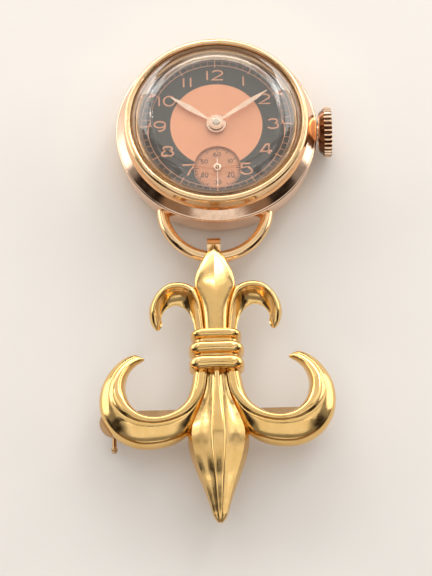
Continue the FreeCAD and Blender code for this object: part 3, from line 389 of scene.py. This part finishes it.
def build_collar():
    """Three rounded bands, with a lower strip under each gap."""
    half = (COLLAR_HIGH.x - COLLAR_LOW.x) / 2
    top = COLLAR_HIGH.y
    span = top - COLLAR_LOW.y
    bands = []
    for name, start, end, narrower, lower, swell in COLLAR_PARTS:
        bands.append(collar_band(name, top - end * span, top - start * span, half - narrower,
                                 COLLAR_HIGH.z - lower, swell))
    return joined("collar_bands", bands)


def build_brooch():
    """The brooch's five visible golds, each in place of its CAD node."""
    upper = skin("upper_leaf_gold", leaf_rings(UPPER_LEAF, UPPER_PROFILE, 10), sharp_degrees=18.0)
    lower = skin("lower_leaf_gold", leaf_rings(LOWER_LEAF, LOWER_PROFILE, 10), sharp_degrees=18.0)
    small = scroll_pair("small_scrolls_gold", SMALL_SCROLL, SMALL_BAND, SMALL_FACE)
    large = scroll_pair("large_scrolls_gold", LARGE_SCROLL, LARGE_FLANK, LARGE_BAND)
    band = build_collar()
    pairs = ((upper, "upper_leaf"), (lower, "lower_leaf"), (small, "small_scrolls"),
             (large, "large_scrolls"), (band, "collar"))
    for piece, replaced in pairs:
        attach(piece, "brooch")
        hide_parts(replaced)
    return [piece for piece, _ in pairs]


# ---------------------------------------------------------------- glass, seconds hand and crown


def build_crystal():
    """A high acrylic glass: a flat dome, a tight bright shoulder and a sloping skirt."""
    outline = smooth_path(GLASS_OUTER[:-1], 6) + GLASS_OUTER[-1:]
    outline += GLASS_INNER[:1] + smooth_path(GLASS_INNER[1:], 6)
    glass = turned("crystal_dome", outline, steps=192)
    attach(glass, "watch_case")
    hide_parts("crystal")
    return glass


def build_seconds_hand():
    """A fine needle with a short tail and an open ring hub over a dark pivot."""
    x, y = SECONDS_AT
    rings = []
    for along, half in NEEDLE_STATIONS:
        section = ((half, NEEDLE_LOW), (half, NEEDLE_SHOULDER), (0.0, NEEDLE_HIGH),
                   (-half, NEEDLE_SHOULDER), (-half, NEEDLE_LOW))
        rings.append([(x - side, y + along, z) for side, z in section])
    blade = skin("blade", rings, sharp_degrees=20.0)
    hub = turned("hub", NEEDLE_HUB, SECONDS_AT, 64, closed=True)
    hand = joined("seconds_needle", [blade, hub])
    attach(hand, "seconds_works")
    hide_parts("seconds_hand")
    return hand


def build_crown():
    """A short cone towards the case, then deep square ribs and a plain end."""
    steps = CROWN_TEETH * STEPS_PER_TOOTH
    rings = []
    for x, radius, depth in CROWN_STATIONS:
        ring = []
        for k in range(steps):
            a = 2 * math.pi * k / steps
            wave = min(1.0, max(0.0, 0.5 + 0.9 * math.cos(CROWN_TEETH * a)))
            near = radius - depth * (1 - wave)
            ring.append((x, near * math.cos(a), STEM_HEIGHT + near * math.sin(a)))
        rings.append(ring)
    crown = skin("crown_ribbed", rings, sharp_degrees=35.0)
    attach(crown, "crown_works")
    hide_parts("crown")
    return crown


# ---------------------------------------------------------------- dial printing


def bend(cx, cy, rx, ry, start, end):
    """Points along an elliptical arc, in a box one unit wide and high."""
    count = max(4, int(abs(end - start) / 15))
    out = []
    for i in range(count + 1):
        a = math.radians(start + (end - start) * i / count)
        out.append((cx + rx * math.cos(a), cy + ry * math.sin(a)))
    return out


# Each digit is a list of pen strokes.
DIGITS = {
    "0": [bend(0.5, 0.5, 0.5, 0.5, 90, 450)],
    "1": [[(0.0, 0.0), (0.0, 1.0)]],
    "2": [bend(0.5, 0.72, 0.46, 0.28, 160, -30) + [(0.0, 0.0), (1.0, 0.0)]],
    "3": [bend(0.5, 0.76, 0.42, 0.24, 155, -80), bend(0.5, 0.27, 0.5, 0.27, 82, -155)],
    "4": [[(0.76, 0.0), (0.76, 1.0), (0.5, 1.0), (0.0, 0.27), (1.0, 0.27)]],
    "5": [[(0.92, 1.0), (0.12, 1.0), (0.12, 0.57)] + bend(0.5, 0.29, 0.5, 0.3, 80, -155)],
    "6": [bend(0.5, 0.3, 0.5, 0.3, 90, 450), bend(0.56, 0.42, 0.56, 0.58, 175, 80)],
    "7": [[(0.0, 0.82), (0.0, 1.0), (1.0, 1.0), (0.4, 0.0)]],
    "8": [bend(0.5, 0.77, 0.42, 0.23, 90, 450), bend(0.5, 0.27, 0.5, 0.27, 90, 450)],
    "9": [bend(0.5, 0.68, 0.5, 0.32, 90, 450), bend(0.45, 0.5, 0.55, 0.5, 10, -100)],
}


def ribbon(points, width, z0, z1):
    """A flat printed line with mitred corners; the ends meet when the path is closed."""
    closed = math.dist(points[0], points[-1]) < 1e-6
    line = [Vector(p) for p in (points[:-1] if closed else points)]
    n = len(line)
    verts, faces = [], []
    for i, here in enumerate(line):
        before = line[i - 1] if closed or i else here
        after = line[(i + 1) % n] if closed or i < n - 1 else here
        into = (here - before) if here != before else (after - here)
        away = (after - here) if after != here else into
        side = Vector((-into.y, into.x)).normalized() + Vector((-away.y, away.x)).normalized()
        side.normalize()
        lean = max(side.dot(Vector((-into.y, into.x)).normalized()), 0.5)
        offset = side * (width / 2 / lean)
        for z in (z0, z1):
            verts.append((here.x + offset.x, here.y + offset.y, z))
            verts.append((here.x - offset.x, here.y - offset.y, z))
    for i in range(n if closed else n - 1):
        a, b = 4 * i, 4 * ((i + 1) % n)
        faces += [(a + 2, a + 3, b + 3, b + 2), (a, b, b + 1, a + 1),
                  (a, a + 2, b + 2, b), (a + 1, b + 1, b + 3, a + 3)]
    if not closed:
        faces += [(0, 1, 3, 2), (4 * n - 4, 4 * n - 2, 4 * n - 1, 4 * n - 3)]
    return verts, faces


class Print:
    """Collects printed strokes into one mesh."""

    def __init__(self, z0, z1):
        self.verts, self.faces, self.z = [], [], (z0, z1)

    def stroke(self, points, width):
        """One line of ink through the points."""
        verts, faces = ribbon(points, width, *self.z)
        start = len(self.verts)
        self.verts += verts
        self.faces += [tuple(start + i for i in face) for face in faces]

    def ring(self, radius, width, at=(0.0, 0.0)):
        """A full circle."""
        turns = [2 * math.pi * k / RING_STEPS for k in range(RING_STEPS + 1)]
        self.stroke([(at[0] + radius * math.cos(a), at[1] + radius * math.sin(a)) for a in turns], width)

    def ticks(self, count, r0, r1, width, at=(0.0, 0.0), skip=None):
        """Radial marks; every skip-th is left out."""
        for k in range(count):
            if skip and k % skip == 0:
                continue
            s, c = math.sin(2 * math.pi * k / count), math.cos(2 * math.pi * k / count)
            self.stroke([(at[0] + r0 * s, at[1] + r0 * c), (at[0] + r1 * s, at[1] + r1 * c)], width)

    def number(self, text, centre, wide, high, gap, width):
        """Upright digits centred on a point; a one takes no width of its own."""
        widths = [0.0 if ch == "1" else wide for ch in text]
        total = sum(widths) + gap * (len(text) - 1)
        x = centre[0] - total / 2
        for ch, w in zip(text, widths):
            for path in DIGITS[ch]:
                self.stroke([(x + px * w, centre[1] + (py - 0.5) * high) for px, py in path], width)
            x += w + gap

    def finish(self, name):
        """The mesh of all the strokes."""
        return mesh_object(name, self.verts, self.faces, 30.0)


def dial_printing():
    """Hour numerals without the six, which the seconds dial takes, and a railway minute track."""
    ink = Print(DIAL_TOP - INK_THICK, DIAL_TOP + 1.2 * INK_THICK)
    for hour in (1, 2, 3, 4, 5, 7, 8, 9, 10, 11, 12):
        a = math.radians(30 * hour)
        gap = ELEVEN_GAP if hour == 11 else NUMERAL_GAP
        centre = (NUMERAL_R * math.sin(a), NUMERAL_R * math.cos(a))
        ink.number(str(hour), centre, *NUMERAL_SIZE, gap, NUMERAL_STROKE)
    for radius, stroke in zip(MINUTE_TRACK, TRACK_STROKES):
        ink.ring(radius, stroke)
    ink.ticks(60, *MINUTE_TRACK, MINUTE_TICK_STROKE, skip=5)
    ink.ticks(12, *HOUR_TICKS, HOUR_TICK_STROKE)
    return ink.finish("dial_numerals")


def seconds_printing():
    """Sixty ticks inside one ring, with a number at every tenth second."""
    ink = Print(SECONDS_TOP - INK_THICK, SECONDS_TOP + INK_THICK)
    ink.ring(SECONDS_TRACK[1], SECONDS_RING_STROKE, SECONDS_AT)
    ink.ticks(60, *SECONDS_TRACK, SECONDS_TICK_STROKE, SECONDS_AT, skip=5)
    ink.ticks(12, *TEN_SECOND_TICKS, TEN_SECOND_STROKE, SECONDS_AT)
    for k, text in enumerate(("60", "10", "20", "30", "40", "50")):
        a = math.radians(60 * k)
        centre = (SECONDS_AT[0] + SECONDS_NUMERAL_R * math.sin(a),
                  SECONDS_AT[1] + SECONDS_NUMERAL_R * math.cos(a))
        ink.number(text, centre, *SECONDS_NUMERAL_SIZE, SECONDS_NUMERAL_GAP, SECONDS_NUMERAL_STROKE)
    return ink.finish("seconds_numerals")


# ---------------------------------------------------------------- materials


def node(tree, kind, **sockets):
    """A new node with values set on its own sockets; _ stands for a space in a socket's name."""
    made = tree.nodes.new(kind)
    for key, value in sockets.items():
        made.inputs[key.replace("_", " ")].default_value = value
    return made


def ramp(tree, factor, stops):
    """A colour ramp; stops are (place, colour) or (place, grey)."""
    made = tree.nodes.new("ShaderNodeValToRGB")
    elements = made.color_ramp.elements
    while len(elements) < len(stops):
        elements.new(0.5)
    for element, (place, colour) in zip(elements, stops):
        element.position = place
        element.color = (*colour, 1.0) if isinstance(colour, tuple) else (colour,) * 3 + (1.0,)
    tree.links.new(factor, made.inputs["Fac"])
    return made.outputs["Color"]


def noise(tree, scale, detail=3.0, stretch=(1.0, 1.0, 1.0), rotate=0.0):
    """Noise in object space; stretch squeezes it into scratches or grain."""
    coords = tree.nodes.new("ShaderNodeTexCoord")
    mapping = tree.nodes.new("ShaderNodeMapping")
    mapping.inputs["Scale"].default_value = stretch
    mapping.inputs["Rotation"].default_value = (0.0, 0.0, rotate)
    made = node(tree, "ShaderNodeTexNoise", Scale=scale, Detail=detail)
    tree.links.new(coords.outputs["Object"], mapping.inputs["Vector"])
    tree.links.new(mapping.outputs["Vector"], made.inputs["Vector"])
    return made.outputs["Fac"]


def new_material(name):
    """A material with its node tree and its Principled shader."""
    material = bpy.data.materials.new(name)
    material.use_nodes = True
    tree = material.node_tree
    return material, tree, tree.nodes["Principled BSDF"]


def bumped(tree, shader, height, strength, distance):
    """Surface relief from a height output; distance is in metres."""
    bump = node(tree, "ShaderNodeBump", Strength=strength, Distance=distance)
    tree.links.new(height, bump.inputs["Height"])
    tree.links.new(bump.outputs["Normal"], shader.inputs["Normal"])


def mixed(tree, a, b, share):
    """a plus share times b."""
    made = tree.nodes.new("ShaderNodeMath")
    made.operation = "MULTIPLY_ADD"
    made.inputs[1].default_value = share
    tree.links.new(b, made.inputs[0])
    tree.links.new(a, made.inputs[2])
    return made.outputs[0]


def blended(tree, share, first, second):
    """From the first colour to the second as share goes from 0 to 1."""
    mix = tree.nodes.new("ShaderNodeMix")
    mix.data_type = "RGBA"
    tree.links.new(share, mix.inputs["Factor"])
    tree.links.new(first, mix.inputs[6])
    tree.links.new(second, mix.inputs[7])
    return mix.outputs[2]


def metal(name, light, dark, smooth, worn, scratch=0.25, grain=0.0):
    """Polished or satin metal: cloudy tarnish, hairline scratches both ways, uneven gloss."""
    material, tree, shader = new_material(name)
    shader.inputs["Metallic"].default_value = 1.0
    cloud = noise(tree, 420.0, 4.0)
    tree.links.new(ramp(tree, cloud, [(0.3, dark), (0.62, light)]), shader.inputs["Base Color"])
    tree.links.new(ramp(tree, noise(tree, 900.0, 5.0), [(0.3, smooth), (0.75, worn)]),
                   shader.inputs["Roughness"])
    fine = noise(tree, 1500.0, 2.0, (1.0, 14.0, 1.0), 0.5)
    cross = noise(tree, 1300.0, 2.0, (12.0, 1.0, 1.0), 0.3)
    both = mixed(tree, fine, cross, 0.8)
    if grain:
        both = mixed(tree, both, noise(tree, 4000.0, 2.0), grain)
    bumped(tree, shader, both, scratch, 0.00001)
    return material


def length_of(tree, x=None, y=None, z=None):
    """The length of a vector made of up to three outputs."""
    joint = tree.nodes.new("ShaderNodeCombineXYZ")
    for axis, output in (("X", x), ("Y", y), ("Z", z)):
        if output:
            tree.links.new(output, joint.inputs[axis])
    measure = tree.nodes.new("ShaderNodeVectorMath")
    measure.operation = "LENGTH"
    tree.links.new(joint.outputs[0], measure.inputs[0])
    return measure.outputs["Value"]


def object_axes(tree):
    """The X, Y and Z outputs of object coordinates, in metres."""
    coords = tree.nodes.new("ShaderNodeTexCoord")
    split = tree.nodes.new("ShaderNodeSeparateXYZ")
    tree.links.new(coords.outputs["Object"], split.inputs[0])
    return split.outputs["X"], split.outputs["Y"], split.outputs["Z"]


def with_number(tree, operation, output, number):
    """Maths between an output and a fixed number."""
    made = tree.nodes.new("ShaderNodeMath")
    made.operation = operation
    made.inputs[1].default_value = number
    tree.links.new(output, made.inputs[0])
    return made.outputs[0]


def crown_metal():
    """Rose gold: bare on top of the ribs and on both ends, painted shade brown everywhere else, in the
    grooves and on the cone.
    """
    material = metal("crown_gold", *ROSE, 0.12, 0.26, 0.15)
    tree = material.node_tree
    x, y, z = object_axes(tree)
    radius = length_of(tree, y=y, z=with_number(tree, "SUBTRACT", z, STEM_HEIGHT * MM))
    shares = []
    for reading, (low, high) in ((radius, RIB_TOP_R), (x, END_FACE_X), (radius, INNER_FACE_R)):
        share = node(tree, "ShaderNodeMapRange", **{"From Min": low * MM, "From Max": high * MM})
        tree.links.new(reading, share.inputs["Value"])
        shares.append(share.outputs["Result"])
    most = shares[0]
    for share in shares[1:]:
        larger = tree.nodes.new("ShaderNodeMath")
        larger.operation = "MAXIMUM"
        tree.links.new(most, larger.inputs[0])
        tree.links.new(share, larger.inputs[1])
        most = larger.outputs[0]
    # Painted shade brown where no share reaches, bare gold where one does.
    tree.links.new(ramp(tree, most, [(0.0, CROWN_SHADE_BROWN), (1.0, RIB_GOLD)]),
                   tree.nodes["Principled BSDF"].inputs["Base Color"])
    return material


def enamel_dial():
    """Brushed copper centre and a dark lacquer ring, with a painted bronze reflection of the bezel over
    the rim, set by radius.
    """
    material, tree, shader = new_material("dial_two_tone")
    x, y, _ = object_axes(tree)
    scaled = with_number(tree, "MULTIPLY", length_of(tree, x=x, y=y), 1.0 / (DIAL_SPAN_R * MM))
    edge = DIAL_COPPER_R / DIAL_SPAN_R
    reflection_start, reflection_end = [radius / DIAL_SPAN_R for radius in DIAL_REFLECTION_R]
    disc = ramp(tree, scaled, [(edge - 0.002, 1.0), (edge + 0.002, 0.0)])
    speckle = noise(tree, 9000.0, 4.0)
    copper = ramp(tree, speckle, [(0.25, (0.65, 0.275, 0.145)), (0.75, (0.76, 0.345, 0.195))])
    slate = ramp(tree, speckle, [(0.25, (0.036, 0.031, 0.025)), (0.75, (0.068, 0.058, 0.046))])
    # Painted reflection: the bezel's bronze inner wall, laid as colour on the dial's rim.
    bronze_reflection = ramp(tree, speckle, [(0.25, (0.34, 0.16, 0.06)), (0.75, (0.48, 0.24, 0.09))])
    reflection_share = ramp(tree, scaled, [(reflection_start, 0.0), (reflection_end, 1.0)])
    ring = blended(tree, reflection_share, slate, bronze_reflection)
    tree.links.new(blended(tree, disc, ring, copper), shader.inputs["Base Color"])
    tree.links.new(ramp(tree, disc, [(0.0, 0.42), (1.0, 0.5)]), shader.inputs["Roughness"])
    shader.inputs["Metallic"].default_value = 0.25
    bumped(tree, shader, speckle, 0.12, 0.000008)
    return material


def printed(name, light, dark, rough, metallic):
    """Ink or a plated face with fine speckle in its colour, gloss and height."""
    material, tree, shader = new_material(name)
    tint = noise(tree, 5200.0, 3.0)
    tree.links.new(ramp(tree, tint, [(0.3, dark), (0.7, light)]), shader.inputs["Base Color"])
    tree.links.new(ramp(tree, tint, [(0.3, rough), (0.7, rough + 0.12)]), shader.inputs["Roughness"])
    shader.inputs["Metallic"].default_value = metallic
    bumped(tree, shader, tint, 0.15, 0.000006)
    return material


def acrylic():
    """Clear glass with fine scratches; light passes straight through to the dial."""
    material, tree, shader = new_material("acrylic_crystal")
    shader.inputs["Transmission Weight"].default_value = 1.0
    shader.inputs["IOR"].default_value = 1.5
    shader.inputs["Specular IOR Level"].default_value = 0.8
    shader.inputs["Coat Weight"].default_value = 0.4
    shader.inputs["Coat Roughness"].default_value = 0.02
    tint = noise(tree, 300.0, 2.0)
    tree.links.new(ramp(tree, tint, [(0.3, (0.97, 0.97, 0.95)), (0.7, (1.0, 1.0, 0.99))]),
                   shader.inputs["Base Color"])
    tree.links.new(ramp(tree, noise(tree, 700.0, 4.0), [(0.4, 0.0), (0.85, 0.03)]),
                   shader.inputs["Roughness"])
    hair = noise(tree, 900.0, 2.0, (1.0, 22.0, 1.0), 0.9)
    bumped(tree, shader, hair, 0.06, 0.000008)
    path = tree.nodes.new("ShaderNodeLightPath")
    clear = node(tree, "ShaderNodeBsdfTransparent", Color=(0.94, 0.94, 0.92, 1.0))
    mix = tree.nodes.new("ShaderNodeMixShader")
    tree.links.new(path.outputs["Is Shadow Ray"], mix.inputs["Fac"])
    tree.links.new(shader.outputs[0], mix.inputs[1])
    tree.links.new(clear.outputs[0], mix.inputs[2])
    tree.links.new(mix.outputs[0], tree.nodes["Material Output"].inputs["Surface"])
    return material


def ruby():
    """Polished red stone with slightly uneven colour."""
    material, tree, shader = new_material("ruby_jewel")
    tint = noise(tree, 2500.0, 2.0)
    tree.links.new(ramp(tree, tint, [(0.3, (0.45, 0.01, 0.04)), (0.7, (0.75, 0.03, 0.09))]),
                   shader.inputs["Base Color"])
    tree.links.new(ramp(tree, tint, [(0.3, 0.05), (0.7, 0.12)]), shader.inputs["Roughness"])
    bumped(tree, shader, tint, 0.03, 0.000005)
    return material


# One material for each of the record's slots.
MATERIALS = {
    "yellow_gold_brooch": metal("brooch_gold", *YELLOW, 0.1, 0.22, 0.1),
    "yellow_gold_case": metal("case_yellow_gold", *PALE_YELLOW, 0.08, 0.2, 0.12),
    "rose_gold_case": metal("case_rose_gold", *ROSE, 0.1, 0.22, 0.12, 0.15),
    "brooch_fittings": metal("fitting_gold", (0.58, 0.365, 0.185), (0.46, 0.275, 0.135), 0.16, 0.3, 0.1),
    "pin_wire": metal("pin_wire_gold", (0.66, 0.46, 0.25), (0.54, 0.36, 0.18), 0.12, 0.26, 0.1),
    "rose_hands": metal("hand_rose_gold", (1.0, 0.75, 0.58), (0.95, 0.64, 0.46), 0.2, 0.34, 0.1),
    "movement_nickel": metal("nickel_plate", (0.68, 0.66, 0.62), (0.56, 0.54, 0.5), 0.22, 0.42, 0.4, 0.5),
    "movement_brass": metal("movement_brass", (0.82, 0.62, 0.28), (0.66, 0.46, 0.18), 0.2, 0.38, 0.3),
    "movement_steel": metal("movement_steel", (0.62, 0.62, 0.63), (0.5, 0.5, 0.52), 0.12, 0.3, 0.3),
    "spring_steel": metal("spring_steel", (0.2, 0.27, 0.45), (0.12, 0.17, 0.33), 0.15, 0.3, 0.2),
    "dial_enamel": enamel_dial(),
    "dial_copper": printed("seconds_copper", (0.62, 0.285, 0.155), (0.5, 0.215, 0.115), 0.38, 0.35),
    "crystal": acrylic(),
    "ruby": ruby(),
}


def dress(piece, material):
    """Give a piece one material."""
    piece.data.materials.clear()
    piece.data.materials.append(material)


def dress_frame():
    """Give every CAD node the material of its slot."""
    for entry in frame["record"]["subparts"]:
        dress(frame["nodes"][entry["node"]], MATERIALS[entry["material_slot"]])


# ---------------------------------------------------------------- studio


def face_lit_point(obj):
    """Turn a lamp or card towards the point between the watch and the brooch."""
    obj.rotation_euler = (LIT_POINT - obj.location).to_track_quat("-Z", "Y").to_euler()


def softbox(name, at, size, radiance):
    """A rectangular lamp whose face is as bright as radiance says, whatever its size."""
    light = bpy.data.lights.new(name, "AREA")
    light.shape = "RECTANGLE"
    light.size, light.size_y = size
    light.energy = radiance * math.pi * size[0] * size[1]
    light.color = LAMP_COLOUR
    obj = bpy.data.objects.new(name, light)
    obj.location = at
    bpy.context.scene.collection.objects.link(obj)
    face_lit_point(obj)


def card(name, at, size, colour):
    """A panel seen only in reflections, for the dark shapes that polished metal shows."""
    obj = flat_panel(name, size[0] / 2 / MM, size[1] / 2 / MM)
    obj.location = at
    face_lit_point(obj)
    material = bpy.data.materials.new(name + "_paint")
    material.use_nodes = True
    tree = material.node_tree
    tree.nodes.clear()
    glow = node(tree, "ShaderNodeEmission", Color=(*colour, 1.0), Strength=1.0)
    out = tree.nodes.new("ShaderNodeOutputMaterial")
    tree.links.new(glow.outputs[0], out.inputs["Surface"])
    obj.data.materials.append(material)
    obj.visible_camera = False
    obj.visible_diffuse = False
    obj.visible_shadow = False
    obj.visible_transmission = False


def around(azimuth, elevation, distance):
    """A place round the watch: azimuth 0 is behind it (+Y), 90 is on the crown's side."""
    a, e = math.radians(azimuth), math.radians(elevation)
    away = Vector((math.sin(a) * math.cos(e), math.cos(a) * math.cos(e), math.sin(e)))
    return LIT_POINT + away * distance


def flat_panel(name, wide, high, z=0.0):
    """One level rectangle, from its half sizes in millimetres."""
    corners = [(-wide, -high, z), (wide, -high, z), (wide, high, z), (-wide, high, z)]
    return mesh_object(name, corners, [(0, 1, 2, 3)], 0.0)


def build_floor():
    """A pale paper floor."""
    floor = flat_panel("floor", FLOOR_HALF, FLOOR_HALF, FLOOR_Z)
    material, tree, shader = new_material("floor_paper")
    paper = noise(tree, 60.0, 3.0)
    tree.links.new(ramp(tree, paper, [(0.3, (0.84, 0.805, 0.765)), (0.7, (0.86, 0.825, 0.785))]),
                   shader.inputs["Base Color"])
    shader.inputs["Roughness"].default_value = 0.8
    dress(floor, material)


def build_studio():
    """Floor, soft room light, lamps and cards."""
    build_floor()
    world = bpy.data.worlds.new("soft_room")
    world.use_nodes = True
    background = world.node_tree.nodes["Background"]
    background.inputs["Color"].default_value = ROOM_COLOUR
    background.inputs["Strength"].default_value = ROOM_STRENGTH
    bpy.context.scene.world = world
    for name, azimuth, elevation, size, radiance in SOFTBOXES:
        softbox(name, around(azimuth, elevation, SOFTBOX_DISTANCE), size, radiance)
    for name, azimuth, elevation, size, colour in CARDS:
        card(name, around(azimuth, elevation, CARD_DISTANCE), size, colour)


def build_camera():
    """Steeply down on the dial from the brooch's end, slightly rolled."""
    elevation = math.radians(CAMERA_ELEVATION)
    roll = math.radians(CAMERA_ROLL)
    target = Vector(CAMERA_TARGET) * MM
    back = Vector((0.0, -math.cos(elevation), math.sin(elevation)))
    level = Vector((1.0, 0.0, 0.0))
    upright = back.cross(level)
    right = level * math.cos(roll) - upright * math.sin(roll)
    up = upright * math.cos(roll) + level * math.sin(roll)
    data = bpy.data.cameras.new("camera")
    data.sensor_fit = "VERTICAL"
    data.sensor_height = SENSOR_HEIGHT
    data.lens = LENS
    data.clip_start = 0.01
    camera = bpy.data.objects.new("camera", data)
    turn = Matrix((right, up, back)).transposed()
    camera.matrix_world = Matrix.Translation(target + back * CAMERA_DISTANCE) @ turn.to_4x4()
    bpy.context.scene.collection.objects.link(camera)
    bpy.context.scene.camera = camera


def main():
    """Build, dress and place every piece, then the studio and the camera."""
    dress_frame()
    for piece in build_brooch():
        dress(piece, MATERIALS["yellow_gold_brooch"])
    dress(build_crystal(), MATERIALS["crystal"])
    dress(build_seconds_hand(), MATERIALS["rose_hands"])
    dress(build_crown(), crown_metal())
    cap = metal("polished_cap", (0.82, 0.72, 0.6), (0.72, 0.61, 0.49), 0.12, 0.24)
    dress(frame["nodes"]["cannon_pinion"], cap)
    dress(frame["nodes"]["hanging_loop"], MATERIALS["yellow_gold_case"])
    copper_ink = printed("copper_ink", (0.68, 0.34, 0.21), (0.56, 0.26, 0.15), 0.3, 0.5)
    dark_ink = printed("dark_ink", (0.07, 0.025, 0.015), (0.04, 0.014, 0.009), 0.5, 0.0)
    for piece, ink, slot in ((dial_printing(), copper_ink, "dial_enamel"),
                             (seconds_printing(), dark_ink, "dial_copper")):
        dress(piece, ink)
        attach(piece, "watch_case")
    build_studio()
    build_camera()
    bpy.context.scene.view_settings.view_transform = "Standard"


main()
